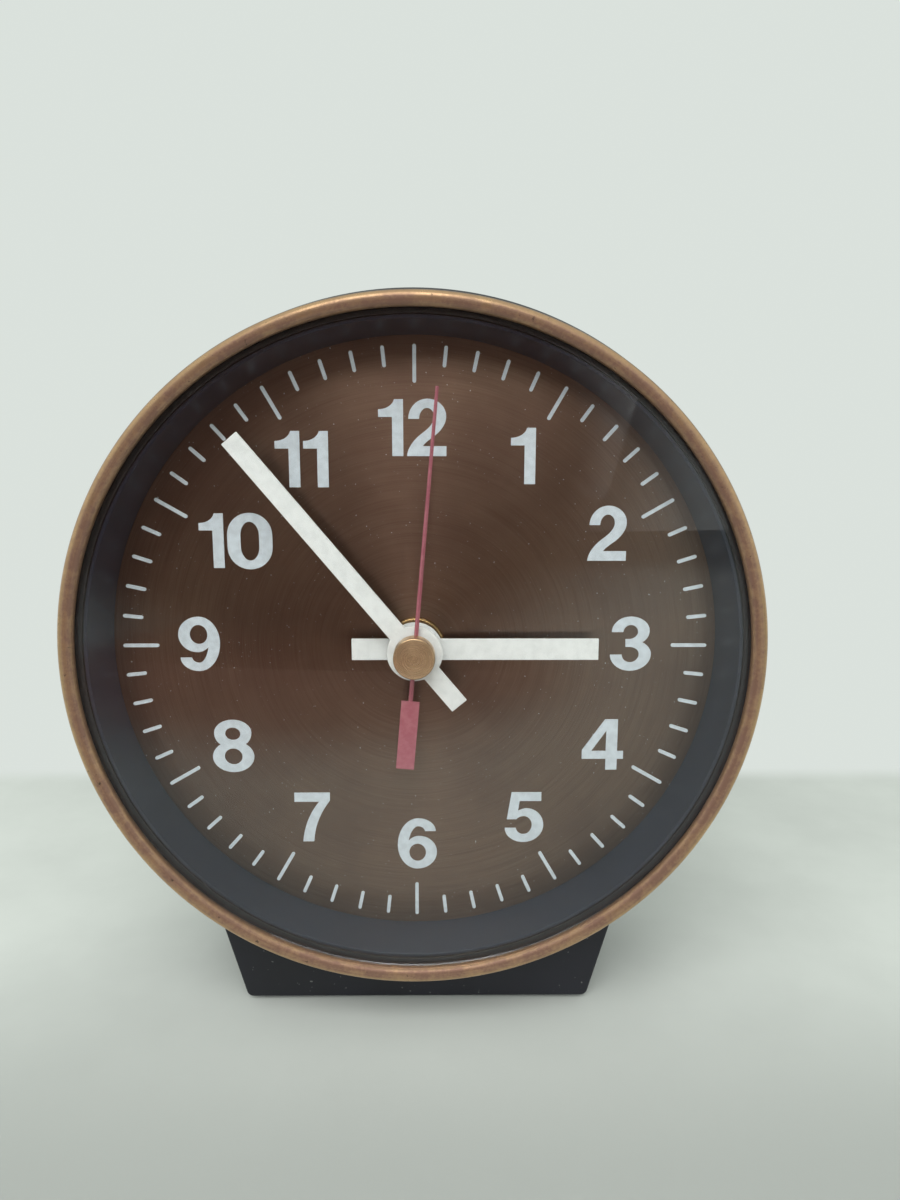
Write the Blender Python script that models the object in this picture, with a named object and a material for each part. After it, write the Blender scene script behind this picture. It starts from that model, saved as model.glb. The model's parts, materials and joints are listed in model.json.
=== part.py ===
"""Hand-wound round alarm clock for a table or a suitcase, standing on a short plinth.

Lengths are in millimetres until a mesh is written. The face looks along -Y, +X is to the right of
someone reading it, +Z is up, and the origin lies under the middle of the clock on the table.
Depths are values of y. Places on the face are (x, z) from the centre of the dial.
"""
import math

import bmesh
import bpy
from mathutils import Vector

MM = 0.001
TAU = 2 * math.pi

# Driving dimensions
CENTRE_HEIGHT = 64.0          # dial centre above the table
HALF_DEPTH = 25.0             # crystal's crown to the middle, and the middle to the keys' ends
BEZEL_R = 55.0
CASE_R = 56.4
WALL = 2.6
DIAL_Y = -12.9                # front face of the dial
DIAL_R = 51.0
GLASS_RISE = 2.8
COVER_Y = 15.6                # inner face of the rear cover
COVER_R = 52.6
KNOB_Y = 17.5                 # where keys and knobs start, just behind the rear cover
GAP = 0.15                    # between pieces that touch
BIG = 40                      # sides of the large rings

# The movement's two plates
FRONT_PLATE = (-6.5, -5.3)
REAR_PLATE = (9.7, 10.9)
PLATE_HALF = (36.0, 34.0)
PLATE_CORNER = 6.0
PILLARS = {"a": (-31.5, 28.5), "b": (33.0, 26.5), "c": (-31.5, -28.5), "d": (32.5, -28.5)}
PIVOT_R = 0.5
HOLE_R = 0.62

# Hands at rest, in degrees clockwise from twelve, and their front faces above the dial
HOUR_TURN, MINUTE_TURN, SECONDS_TURN, ALARM_TURN = 90.0, -39.8, 5.0, 90.0
HOUR_LIFT, MINUTE_LIFT, SECONDS_LIFT, ALARM_LIFT, CAP_LIFT = 3.2, 6.2, 7.2, 2.1, 9.9

# Gear trains: module, then teeth
GREAT_M, GREAT_Z, CENTRE_PINION_Z = 0.68, 48, 8
CENTRE_M, CENTRE_Z, THIRD_PINION_Z = 0.5, 60, 8
THIRD_Z, SECONDS_PINION_Z = 64, 8
FOURTH_M, FOURTH_Z, ESCAPE_PINION_Z = 0.46, 64, 8
CANNON_M, CANNON_Z, MINUTE_Z, SET_PINION_Z = 0.6, 10, 30, 10
MINUTE_PINION_Z, HOUR_Z = 8, 32
ALARM_M, ALARM_Z, ALARM_SET_Z = 0.75, 32, 16
ALARM_GREAT_M, ALARM_GREAT_Z, ALARM_PINION_Z = 0.6, 40, 8


def polar(reach, degrees, start=(0.0, 0.0)):
    angle = math.radians(degrees)
    return (start[0] + reach * math.cos(angle), start[1] + reach * math.sin(angle))


def spread(module, teeth, leaves):
    """Distance between the axes of two meshing gears."""
    return module * (teeth + leaves) / 2


THIRD_M = 2 * spread(CENTRE_M, CENTRE_Z, THIRD_PINION_Z) / (THIRD_Z + SECONDS_PINION_Z)
HOUR_M = 2 * spread(CANNON_M, CANNON_Z, MINUTE_Z) / (HOUR_Z + MINUTE_PINION_Z)

# Where each arbor stands, from the dial centre
CENTRE = (0.0, 0.0)
BARREL_DIR, THIRD_DIR, ESCAPE_DIR, MINUTE_DIR, SET_DIR = 200, 60, -60, 270, 270
ALARM_SET_DIR, ALARM_ESCAPE_DIR, LEVER_DIR, HAMMER_DIR = 135, 75, -25, 110
BARREL = polar(spread(GREAT_M, GREAT_Z, CENTRE_PINION_Z), BARREL_DIR)
THIRD = polar(spread(CENTRE_M, CENTRE_Z, THIRD_PINION_Z), THIRD_DIR)
ESCAPE = polar(spread(FOURTH_M, FOURTH_Z, ESCAPE_PINION_Z), ESCAPE_DIR)
PALLET = polar(6.6, ESCAPE_DIR, ESCAPE)
BALANCE = polar(11.0, LEVER_DIR, PALLET)
MINUTE = polar(spread(CANNON_M, CANNON_Z, MINUTE_Z), MINUTE_DIR)
TIME_SET = polar(spread(CANNON_M, MINUTE_Z, SET_PINION_Z), SET_DIR, MINUTE)
ALARM_SET = polar(spread(ALARM_M, ALARM_Z, ALARM_SET_Z), ALARM_SET_DIR)
ALARM_BARREL = (26.6, -6.0)
ALARM_ESCAPE = polar(spread(ALARM_GREAT_M, ALARM_GREAT_Z, ALARM_PINION_Z), ALARM_ESCAPE_DIR, ALARM_BARREL)
HAMMER = polar(6.6, HAMMER_DIR, ALARM_ESCAPE)
STOP = (34.0, 17.5)
GONG_POST = (-2.5, 31.4)

FINISHES = {  # colour, roughness, metallic
    "black_plastic": ((0.022, 0.022, 0.025), 0.45, 0.0),
    "aged_brass": ((0.42, 0.29, 0.19), 0.34, 1.0),
    "clear_glass": ((0.9, 0.94, 0.93), 0.05, 0.0),
    "brown_dial": ((0.10, 0.062, 0.042), 0.32, 0.9),
    "white_paint": ((0.74, 0.76, 0.75), 0.5, 0.0),
    "red_paint": ((0.24, 0.06, 0.09), 0.5, 0.0),
    "bright_brass": ((0.60, 0.42, 0.20), 0.28, 1.0),
    "steel": ((0.50, 0.50, 0.52), 0.3, 1.0),
    "blue_steel": ((0.05, 0.07, 0.16), 0.3, 1.0),
    "black_rubber": ((0.015, 0.015, 0.016), 0.85, 0.0),
}


# ---------------------------------------------------------------- building tools

def finish(name):
    """The material of that name, made on its first use."""
    if name in bpy.data.materials:
        return bpy.data.materials[name]
    colour, roughness, metallic = FINISHES[name]
    material = bpy.data.materials.new(name)
    material.use_nodes = True
    shader = material.node_tree.nodes["Principled BSDF"]
    shader.inputs["Base Color"].default_value = (*colour, 1)
    shader.inputs["Roughness"].default_value = roughness
    shader.inputs["Metallic"].default_value = metallic
    if name == "clear_glass":
        shader.inputs["Transmission Weight"].default_value = 1
    return material


def place(name, build, material, at=CENTRE, turn=0.0):
    """Turn a bmesh in millimetres into an object whose origin lies on its own axis."""
    bmesh.ops.remove_doubles(build, verts=build.verts, dist=1e-5)
    bmesh.ops.recalc_face_normals(build, faces=build.faces)
    bmesh.ops.scale(build, vec=(MM, MM, MM), verts=build.verts)
    mesh = bpy.data.meshes.new(name)
    build.to_mesh(mesh)
    build.free()
    mesh.shade_smooth()
    mesh.set_sharp_from_angle(angle=math.radians(35))
    mesh.materials.append(finish(material))
    piece = bpy.data.objects.new(name, mesh)
    bpy.context.collection.objects.link(piece)
    piece.parent = clock
    piece.location = Vector((at[0], 0, at[1])) * MM
    piece.rotation_euler[1] = math.radians(turn)
    return piece


def circle(radius, count=24):
    """A ring of (angle, radius) pairs."""
    return [(TAU * i / count, radius) for i in range(count)]


def toothed(module, teeth, phase=0.0):
    """A gear's outline: pointed teeth, one of them at the angle phase, thinner than the gaps."""
    tip, root = module * (teeth / 2 + 0.75), module * (teeth / 2 - 1.4)
    half_pitch = math.pi / teeth
    return [(phase + half_pitch * i, root if i % 2 else tip) for i in range(2 * teeth)]


def sawtoothed(tip, root, teeth, phase=0.0):
    """Hooked teeth, as on a ratchet or an escape wheel."""
    pitch = TAU / teeth
    ring = []
    for i in range(teeth):
        ring += [(phase + i * pitch, tip), (phase + (i + 0.2) * pitch, root)]
    return ring


def bar_ring(hub, half_width, front, back=0.0, count=24):
    """A round hub with a bar through it: front above the hub (towards twelve) and back below it."""
    ring = []
    for reach, middle in ((front, TAU / 4), (back, 3 * TAU / 4)):
        if not reach:
            continue
        side, corner = math.asin(half_width / hub), math.atan2(half_width, reach)
        far = math.hypot(half_width, reach)
        ring += [(middle - side, hub), (middle - corner, far), (middle + corner, far), (middle + side, hub)]
    bars = [(TAU / 4, front)] + ([(3 * TAU / 4, back)] if back else [])
    for i in range(count):
        angle = TAU * i / count
        away = min(abs(math.remainder(angle - middle, TAU)) for middle, _ in bars)
        if away > math.asin(half_width / hub) + 0.06:
            ring.append((angle, hub))
    return sorted(ring)


def turned(stations, closed=False):
    """A bmesh skinned over (ring, y) stations. Open runs are capped at both ends."""
    build = bmesh.new()
    rings = []
    for ring, y in stations:
        ring = sorted(((angle % TAU, radius) for angle, radius in ring))
        rings.append([(a, build.verts.new((r * math.cos(a), y, r * math.sin(a)))) for a, r in ring])
    pairs = list(zip(rings, rings[1:]))
    if closed:
        pairs.append((rings[-1], rings[0]))
    for first, second in pairs:
        skin(build, first, second)
    if not closed:
        for ring, (_, y) in ((rings[0], stations[0]), (rings[-1], stations[-1])):
            hub = build.verts.new((0, y, 0))
            for (_, a), (_, b) in zip(ring, ring[1:] + ring[:1]):
                build.faces.new((hub, a, b))
    return build


def skin(build, first, second):
    """Triangles between two rings, advanced on whichever ring has the nearer next angle."""
    start = min(range(len(second)), key=lambda i: abs(math.remainder(second[i][0] - first[0][0], TAU)))
    second = second[start:] + second[:start]
    origin = first[0][0]
    lead = math.remainder(second[0][0] - origin, TAU)

    def after(ring, i, base):
        return TAU + base if i + 1 == len(ring) else (ring[i + 1][0] - ring[0][0]) % TAU + base

    i = j = 0
    while i < len(first) or j < len(second):
        a, b = first[i % len(first)][1], second[j % len(second)][1]
        next_first = after(first, i, 0) if i < len(first) else math.inf
        next_second = after(second, j, lead) if j < len(second) else math.inf
        if next_first <= next_second:
            build.faces.new((a, first[(i + 1) % len(first)][1], b))
            i += 1
        else:
            build.faces.new((a, second[(j + 1) % len(second)][1], b))
            j += 1


def pipe(inner, outer, front, back, count=24):
    return turned([(circle(outer, count), front), (circle(outer, count), back),
                   (circle(inner, count), back), (circle(inner, count), front)], closed=True)


def extruded(outline, front, back):
    """A flat outline of (x, z) points pulled out from front to back."""
    build = bmesh.new()
    near = [build.verts.new((x, front, z)) for x, z in outline]
    far = [build.verts.new((x, back, z)) for x, z in outline]
    build.faces.new(near)
    build.faces.new(list(reversed(far)))
    for i in range(len(near)):
        j = (i + 1) % len(near)
        build.faces.new((near[i], far[i], far[j], near[j]))
    return build


def raised(outline, low, high):
    """A flat outline of (x, y) points pulled up from z = low to z = high."""
    build = bmesh.new()
    under = [build.verts.new((x, y, low)) for x, y in outline]
    over = [build.verts.new((x, y, high)) for x, y in outline]
    build.faces.new(under)
    build.faces.new(over[::-1])
    for i in range(len(under)):
        j = (i + 1) % len(under)
        build.faces.new((under[i], under[j], over[j], over[i]))
    return build


def arc(centre, radius, start, end, steps):
    """Points on an arc, from one angle in degrees to another."""
    return [polar(radius, start + (end - start) * i / steps, centre) for i in range(steps + 1)]


def round_box(half_x, half_z, corner, steps=4):
    outline = []
    for sx, sz, start in ((1, 1, 0), (-1, 1, 90), (-1, -1, 180), (1, -1, 270)):
        outline += arc((sx * (half_x - corner), sz * (half_z - corner)), corner, start, start + 90, steps)
    return outline


def spiral(inner, outer, turns, thickness, front, back, per_turn=10):
    """A flat coiled strip, as a mainspring or a hairspring."""
    steps = int(turns * per_turn)
    inside, outside = [], []
    for i in range(steps + 1):
        angle, reach = 360 * turns * i / steps, inner + (outer - inner) * i / steps
        inside.append(polar(reach - thickness / 2, angle))
        outside.append(polar(reach + thickness / 2, angle))
    return extruded(outside + inside[::-1], front, back)


def combine(piece, others, operation):
    """Join other objects to a piece, or cut them out of it, and remove them."""
    for other in others:
        modifier = piece.modifiers.new(operation.lower(), "BOOLEAN")
        modifier.operation = operation
        modifier.solver = "EXACT"
        modifier.object = other
    bpy.context.view_layer.update()
    whole = piece.evaluated_get(bpy.context.evaluated_depsgraph_get())
    mesh = bpy.data.meshes.new_from_object(whole)
    piece.modifiers.clear()
    piece.data = mesh
    for other in others:
        bpy.data.objects.remove(other)
    return piece


def drill(piece, holes, front, back, count=8):
    """Cut round holes, given as ((x, z), radius), right through a piece."""
    cutters = []
    for at, radius in holes:
        build = turned([(circle(radius, count), front - 1), (circle(radius, count), back + 1)])
        cutters.append(place("drill", build, "steel", at))
    return combine(piece, cutters, "DIFFERENCE")


def mesh_phase(first_phase, first_teeth, teeth, direction):
    """Where a gear has a tooth, so that it meshes with another one that lies against direction."""
    towards = math.radians(direction)
    first_pitch, pitch = TAU / first_teeth, TAU / teeth
    return towards + math.pi - pitch * (0.5 - (towards - first_phase) / first_pitch)


for old in list(bpy.data.objects):
    bpy.data.objects.remove(old)
clock = bpy.data.objects.new("clock_centre", None)
bpy.context.collection.objects.link(clock)
clock.location = (0, 0, CENTRE_HEIGHT * MM)


# ---------------------------------------------------------------- case

def case_shell():
    """Drum with a front spigot for the bezel, a shelf for the dial and a seat for the rear cover."""
    inner = CASE_R - WALL
    spigot, spigot_front = 53.2, DIAL_Y - 7.1
    shoulder = DIAL_Y - 3.2
    shelf = DIAL_Y + 0.5 + GAP
    rim = COVER_Y + 1.4
    profile = [
        (51.9, spigot_front), (spigot, spigot_front), (spigot, shoulder), (CASE_R - 0.7, shoulder),
        (CASE_R, shoulder + 0.7), (CASE_R, rim - 3.0), (CASE_R - 0.8, rim - 0.9), (CASE_R - 2.2, rim),
        (COVER_R + 0.3, rim), (COVER_R + 0.3, COVER_Y - 0.3), (50.4, COVER_Y - 0.3), (50.4, COVER_Y - 1.5),
        (inner, COVER_Y - 4.5), (inner, shelf + 1.5), (47.5, shelf + 1.5), (47.5, shelf), (51.9, shelf),
    ]
    stations = [(circle(radius, BIG), y) for radius, y in profile]
    return place("case_shell", turned(stations, closed=True), "black_plastic")


def bezel_ring():
    """Brass ring: a half-round front, an inner lip over the crystal and a skirt over the spigot."""
    lip_r, lip_y, skirt_inner = 52.06, DIAL_Y - 9.9, 53.5
    crest_y = DIAL_Y - 11.0
    middle = (lip_r + BEZEL_R) / 2
    profile = [(lip_r, lip_y + 0.4), (lip_r, lip_y)]
    for step in range(1, 6):
        angle = math.pi * step / 6
        profile.append((middle - (BEZEL_R - lip_r) / 2 * math.cos(angle), lip_y + (crest_y - lip_y) * math.sin(angle)))
    profile += [(BEZEL_R, lip_y + 0.5), (BEZEL_R, DIAL_Y - 3.5), (skirt_inner, DIAL_Y - 3.5),
                (skirt_inner, lip_y + 0.4)]
    stations = [(circle(radius, BIG), y) for radius, y in profile]
    place("bezel_ring", turned(stations, closed=True), "aged_brass")


def crystal():
    """Shallow domed glass held under the bezel's lip."""
    rim_y, thickness, rim_r = DIAL_Y - 9.3, 1.3, 53.2
    dome = [(circle(share * rim_r, BIG), rim_y - GLASS_RISE * (1 - share ** 2)) for share in (0.1, 0.55, 1.0)]
    hollow = [(ring, y + thickness) for ring, y in reversed(dome)]
    place("crystal", turned(dome + hollow), "clear_glass")


def dial_and_surround():
    place("crystal_gasket", pipe(51.95, 53.1, DIAL_Y - 7.75, DIAL_Y - 7.1 - GAP, BIG), "black_rubber")
    profile = [(49.6, DIAL_Y - GAP), (51.2, DIAL_Y - 7.6), (51.7, DIAL_Y - 7.6), (51.7, DIAL_Y - GAP)]
    stations = [(circle(radius, BIG), y) for radius, y in profile]
    place("dial_surround", turned(stations, closed=True), "black_plastic")
    place("dial_plate", pipe(3.65, DIAL_R, DIAL_Y, DIAL_Y + 0.5, BIG), "brown_dial")
    eyelet = [(circle(4.8), DIAL_Y - 1.3), (circle(4.8), DIAL_Y - GAP), (circle(3.5), DIAL_Y - GAP),
              (circle(3.5), DIAL_Y + 0.9), (circle(3.05), DIAL_Y + 0.9), (circle(3.05), DIAL_Y - 1.3)]
    place("dial_eyelet", turned(eyelet, closed=True), "bright_brass")


def plinth():
    """Short foot, wider at the top, hollow below, and curved on top to carry the drum."""
    foot_z, half_foot, flare = 0.75 - CENTRE_HEIGHT, 29.7, 0.28
    front, back, corner = DIAL_Y - 2.0, 13.0, 1.3
    seat_r = CASE_R + 0.3
    reach = next(x for x in (half_foot + 0.01 * i for i in range(1500))
                 if foot_z + (x - half_foot) / flare >= -math.sqrt(seat_r ** 2 - x ** 2))
    top = math.degrees(math.acos(reach / seat_r))
    lower_right = arc((half_foot - corner, foot_z + corner), corner, 270, 345, 4)
    lower_left = [(-x, z) for x, z in reversed(lower_right)]
    saddle = arc(CENTRE, seat_r, 180 + top + 1.5, 360 - top - 1.5, 24)
    outline = lower_left + lower_right + saddle[::-1]
    body = place("plinth", extruded(outline, front, back), "black_plastic")
    hollow = extruded([(-26.5, foot_z - 1), (26.5, foot_z - 1), (26.5, foot_z + 2.6), (-26.5, foot_z + 2.6)],
                      front + 2.5, back - 2.5)
    combine(body, [place("hollow", hollow, "black_plastic")], "DIFFERENCE")
    lid = extruded([(-26.2, foot_z), (26.2, foot_z), (26.2, foot_z + 1.5), (-26.2, foot_z + 1.5)],
                   front + 2.8, back - 2.8)
    place("plinth_plate", lid, "steel")
    middle = (front + back) / 2
    pad = [(x, middle + y) for x, y in round_box(27.5, 12.6, 2.5)]
    place("base_pad", raised(pad, -CENTRE_HEIGHT, 0.6 - CENTRE_HEIGHT), "black_rubber")


COVER_SCREWS = {name: polar(47.0, angle) for name, angle in (("left", 190), ("right", 350), ("top", 90))}


def rear_cover():
    """Pressed disc that closes the drum, drilled for the keys, knobs, stop button and regulator."""
    front, back = COVER_Y, COVER_Y + 1.5
    rings = [(circle(COVER_R, BIG), front), (circle(COVER_R, BIG), back - 0.6), (circle(COVER_R - 0.6, BIG), back)]
    cover = place("rear_cover", turned(rings), "black_plastic")
    holes = [(BARREL, 2.4), (ALARM_BARREL, 2.4), (TIME_SET, 1.5), (ALARM_SET, 1.5), (STOP, 1.5)]
    holes += [(at, 1.3) for at in COVER_SCREWS.values()]
    drill(cover, holes, front, back)
    slot = arc(BALANCE, 10.0, -90, -30, 6) + arc(BALANCE, 7.6, -30, -90, 6)
    combine(cover, [place("slot", extruded(slot, front - 1, back + 1), "steel")], "DIFFERENCE")
    for name, at in COVER_SCREWS.items():
        screw = [(circle(1.15, 12), front - 4.0), (circle(1.15, 12), back + GAP),
                 (circle(2.3, 16), back + GAP), (circle(2.1, 16), back + 1.1)]
        place(f"cover_screw_{name}", turned(screw), "steel", at)


# ---------------------------------------------------------------- movement frame

def movement_frame():
    outline = round_box(*PLATE_HALF, PLATE_CORNER)
    pivots = [(at, HOLE_R) for at in (THIRD, ESCAPE, PALLET, ALARM_ESCAPE, HAMMER)]
    through = [(at, 1.15) for at in (TIME_SET, ALARM_SET)]
    front = place("front_plate", extruded(outline, *FRONT_PLATE), "bright_brass")
    drill(front, pivots + through + [(CENTRE, 1.3), (BALANCE, HOLE_R), (BARREL, 1.15), (ALARM_BARREL, 1.15)],
          *FRONT_PLATE)
    rear = place("rear_plate", extruded(outline, *REAR_PLATE), "bright_brass")
    drill(rear, pivots + through + [(CENTRE, HOLE_R), (BALANCE, 6.0), (BARREL, 1.95), (ALARM_BARREL, 1.95),
                                    (STOP, 1.3)], *REAR_PLATE)
    for name, at in PILLARS.items():
        post = turned([(circle(1.8, 10), FRONT_PLATE[1] + GAP), (circle(1.8, 10), REAR_PLATE[0] - GAP)])
        place(f"pillar_{name}", post, "bright_brass", at)


def arbor(front, back, steps, pivot=PIVOT_R):
    """An arbor with a thin pivot at each end. Steps are (ring, front, back) along it."""
    stations = [(circle(pivot, 8), FRONT_PLATE[0] + 0.1), (circle(pivot, 8), FRONT_PLATE[1] + 0.2)]
    stations += [(circle(front, 8), FRONT_PLATE[1] + 0.2)]
    shaft = front
    for ring, start, end in steps:
        stations += [(circle(shaft, 8), start), (ring, start), (ring, end), (circle(shaft, 8), end)]
    stations += [(circle(back, 8), REAR_PLATE[0] - 0.2), (circle(pivot, 8), REAR_PLATE[0] - 0.2),
                 (circle(pivot, 8), REAR_PLATE[1] - 0.1)]
    return turned(stations)


# ---------------------------------------------------------------- going train

CENTRE_PHASE, FOURTH_PHASE, CANNON_PHASE, ALARM_PHASE = 0.0, 0.0, 0.0, 0.0
THIRD_PINION_PHASE = mesh_phase(CENTRE_PHASE, CENTRE_Z, THIRD_PINION_Z, THIRD_DIR)
SECONDS_PINION_PHASE = 0.0
THIRD_PHASE = mesh_phase(SECONDS_PINION_PHASE, SECONDS_PINION_Z, THIRD_Z, THIRD_DIR)
ESCAPE_PINION_PHASE = mesh_phase(FOURTH_PHASE, FOURTH_Z, ESCAPE_PINION_Z, ESCAPE_DIR)
GREAT_PHASE = mesh_phase(CENTRE_PHASE, CENTRE_PINION_Z, GREAT_Z, BARREL_DIR)
MINUTE_PHASE = mesh_phase(CANNON_PHASE, CANNON_Z, MINUTE_Z, MINUTE_DIR)
MINUTE_PINION_PHASE = 0.0
SET_PHASE = mesh_phase(MINUTE_PHASE, MINUTE_Z, SET_PINION_Z, SET_DIR)
HOUR_PHASE = mesh_phase(MINUTE_PINION_PHASE, MINUTE_PINION_Z, HOUR_Z, MINUTE_DIR + 180)
ALARM_SET_PHASE = mesh_phase(ALARM_PHASE, ALARM_Z, ALARM_SET_Z, ALARM_SET_DIR)
ALARM_PINION_PHASE = mesh_phase(0.0, ALARM_GREAT_Z, ALARM_PINION_Z, ALARM_ESCAPE_DIR)


def inside(depth):
    """A depth measured from the back of the front plate."""
    return FRONT_PLATE[1] + depth


def ahead(lift):
    """A depth measured forward from the front of the front plate."""
    return FRONT_PLATE[0] - lift


def above_dial(lift):
    return DIAL_Y - lift


def barrel(name, at, module, teeth, phase, drum_r, drum_end, spring_turns):
    """Toothed barrel, open at the back, with its coiled mainspring inside."""
    bore, wall, disc = 1.6, 0.8, (2.0, 2.9)
    stations = [
        (circle(bore, 12), inside(disc[0])), (toothed(module, teeth, phase), inside(disc[0])),
        (toothed(module, teeth, phase), inside(disc[1])), (circle(drum_r, 32), inside(disc[1])),
        (circle(drum_r, 32), inside(drum_end)), (circle(drum_r - wall, 32), inside(drum_end)),
        (circle(drum_r - wall, 32), inside(disc[1])), (circle(bore, 12), inside(disc[1])),
    ]
    place(f"{name}_barrel", turned(stations, closed=True), "bright_brass", at)
    strip = spiral(3.2, drum_r - wall - 0.6, spring_turns, 0.35, inside(disc[1] + 0.3), inside(drum_end - 0.4))
    place(f"{name}_mainspring", strip, "blue_steel", at)


def winder(name, at, ratchet_r, click_at, click_turn):
    """Winding arbor through both plates, with its ratchet wheel, click and butterfly key."""
    stations = [(circle(1.0, 8), FRONT_PLATE[0] + 0.1), (circle(1.0, 8), FRONT_PLATE[1] + 0.2),
                (circle(1.4, 8), FRONT_PLATE[1] + 0.2), (circle(1.4, 8), REAR_PLATE[0] - 0.2),
                (circle(1.7, 8), REAR_PLATE[0] - 0.2), (circle(1.7, 8), KNOB_Y + 3.0)]
    place(f"{name}_winding_arbor", turned(stations), "steel", at)
    start = REAR_PLATE[1] + 0.3
    wheel = [(circle(1.8, 8), start), (sawtoothed(ratchet_r, ratchet_r - 1.0, 20), start),
             (sawtoothed(ratchet_r, ratchet_r - 1.0, 20), start + 0.9), (circle(1.8, 8), start + 0.9)]
    place(f"{name}_ratchet_wheel", turned(wheel, closed=True), "steel", at)
    reach = math.hypot(click_at[0] - at[0], click_at[1] - at[1]) - ratchet_r - 0.15
    nose = [(-1.1, 0.0), (-0.35, reach), (0.5, reach), (1.1, 0.0)] + arc((0, 0), 1.1, 0, -180, 6)[1:-1]
    place(f"{name}_click", extruded(nose, start, start + 0.9), "steel", click_at, click_turn)
    hub = place(f"{name}_winding_key", turned([(circle(1.8, 8), KNOB_Y + 3.2), (circle(1.8, 8), KNOB_Y),
                                              (circle(3.2, 16), KNOB_Y), (circle(2.8, 16), KNOB_Y + 4.2)]),
                "bright_brass", at)
    top = HALF_DEPTH - KNOB_Y
    half = [(2.6, 3.4), (6.4, 3.0), (7.6, 4.2), (7.6, 6.4), (6.4, top), (2.0, top - 0.6)]
    outline = [(x, KNOB_Y + y) for x, y in half] + [(-x, KNOB_Y + y) for x, y in reversed(half)]
    combine(hub, [place("wings", raised(outline, -0.8, 0.8), "bright_brass", at)], "UNION")


def going_train():
    barrel("time", BARREL, GREAT_M, GREAT_Z, GREAT_PHASE, 13.8, 8.4, 3)
    stations = [
        (circle(0.65, 12), above_dial(5.5)), (circle(1.1, 12), above_dial(5.5)), (circle(1.1, 12), inside(0.6)),
        (toothed(CENTRE_M, CENTRE_Z, CENTRE_PHASE), inside(0.6)),
        (toothed(CENTRE_M, CENTRE_Z, CENTRE_PHASE), inside(1.3)), (circle(1.7, 12), inside(1.3)),
        (circle(1.7, 12), inside(1.6)), (toothed(GREAT_M, CENTRE_PINION_Z, CENTRE_PHASE), inside(1.6)),
        (toothed(GREAT_M, CENTRE_PINION_Z, CENTRE_PHASE), inside(3.4)), (circle(0.65, 12), inside(3.4)),
    ]
    place("centre_wheel", turned(stations, closed=True), "bright_brass")
    steps = [(toothed(CENTRE_M, THIRD_PINION_Z, THIRD_PINION_PHASE), inside(0.4), inside(1.6)),
             (toothed(THIRD_M, THIRD_Z, THIRD_PHASE), inside(6.0), inside(6.7))]
    place("third_wheel", arbor(0.8, 0.8, steps), "bright_brass", THIRD)
    stations = [
        (circle(0.5, 12), above_dial(6.8)), (circle(0.5, 12), inside(5.4)),
        (toothed(THIRD_M, SECONDS_PINION_Z, SECONDS_PINION_PHASE), inside(5.4)),
        (toothed(THIRD_M, SECONDS_PINION_Z, SECONDS_PINION_PHASE), inside(7.3)), (circle(0.8, 12), inside(7.3)),
        (circle(0.8, 12), inside(9.2)), (toothed(FOURTH_M, FOURTH_Z, FOURTH_PHASE), inside(9.2)),
        (toothed(FOURTH_M, FOURTH_Z, FOURTH_PHASE), inside(9.8)), (circle(0.8, 12), inside(9.8)),
        (circle(0.8, 12), REAR_PLATE[0] - 0.2), (circle(0.5, 8), REAR_PLATE[0] - 0.2),
        (circle(0.5, 8), REAR_PLATE[1] - 0.1),
    ]
    place("seconds_arbor", turned(stations), "bright_brass")


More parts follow.
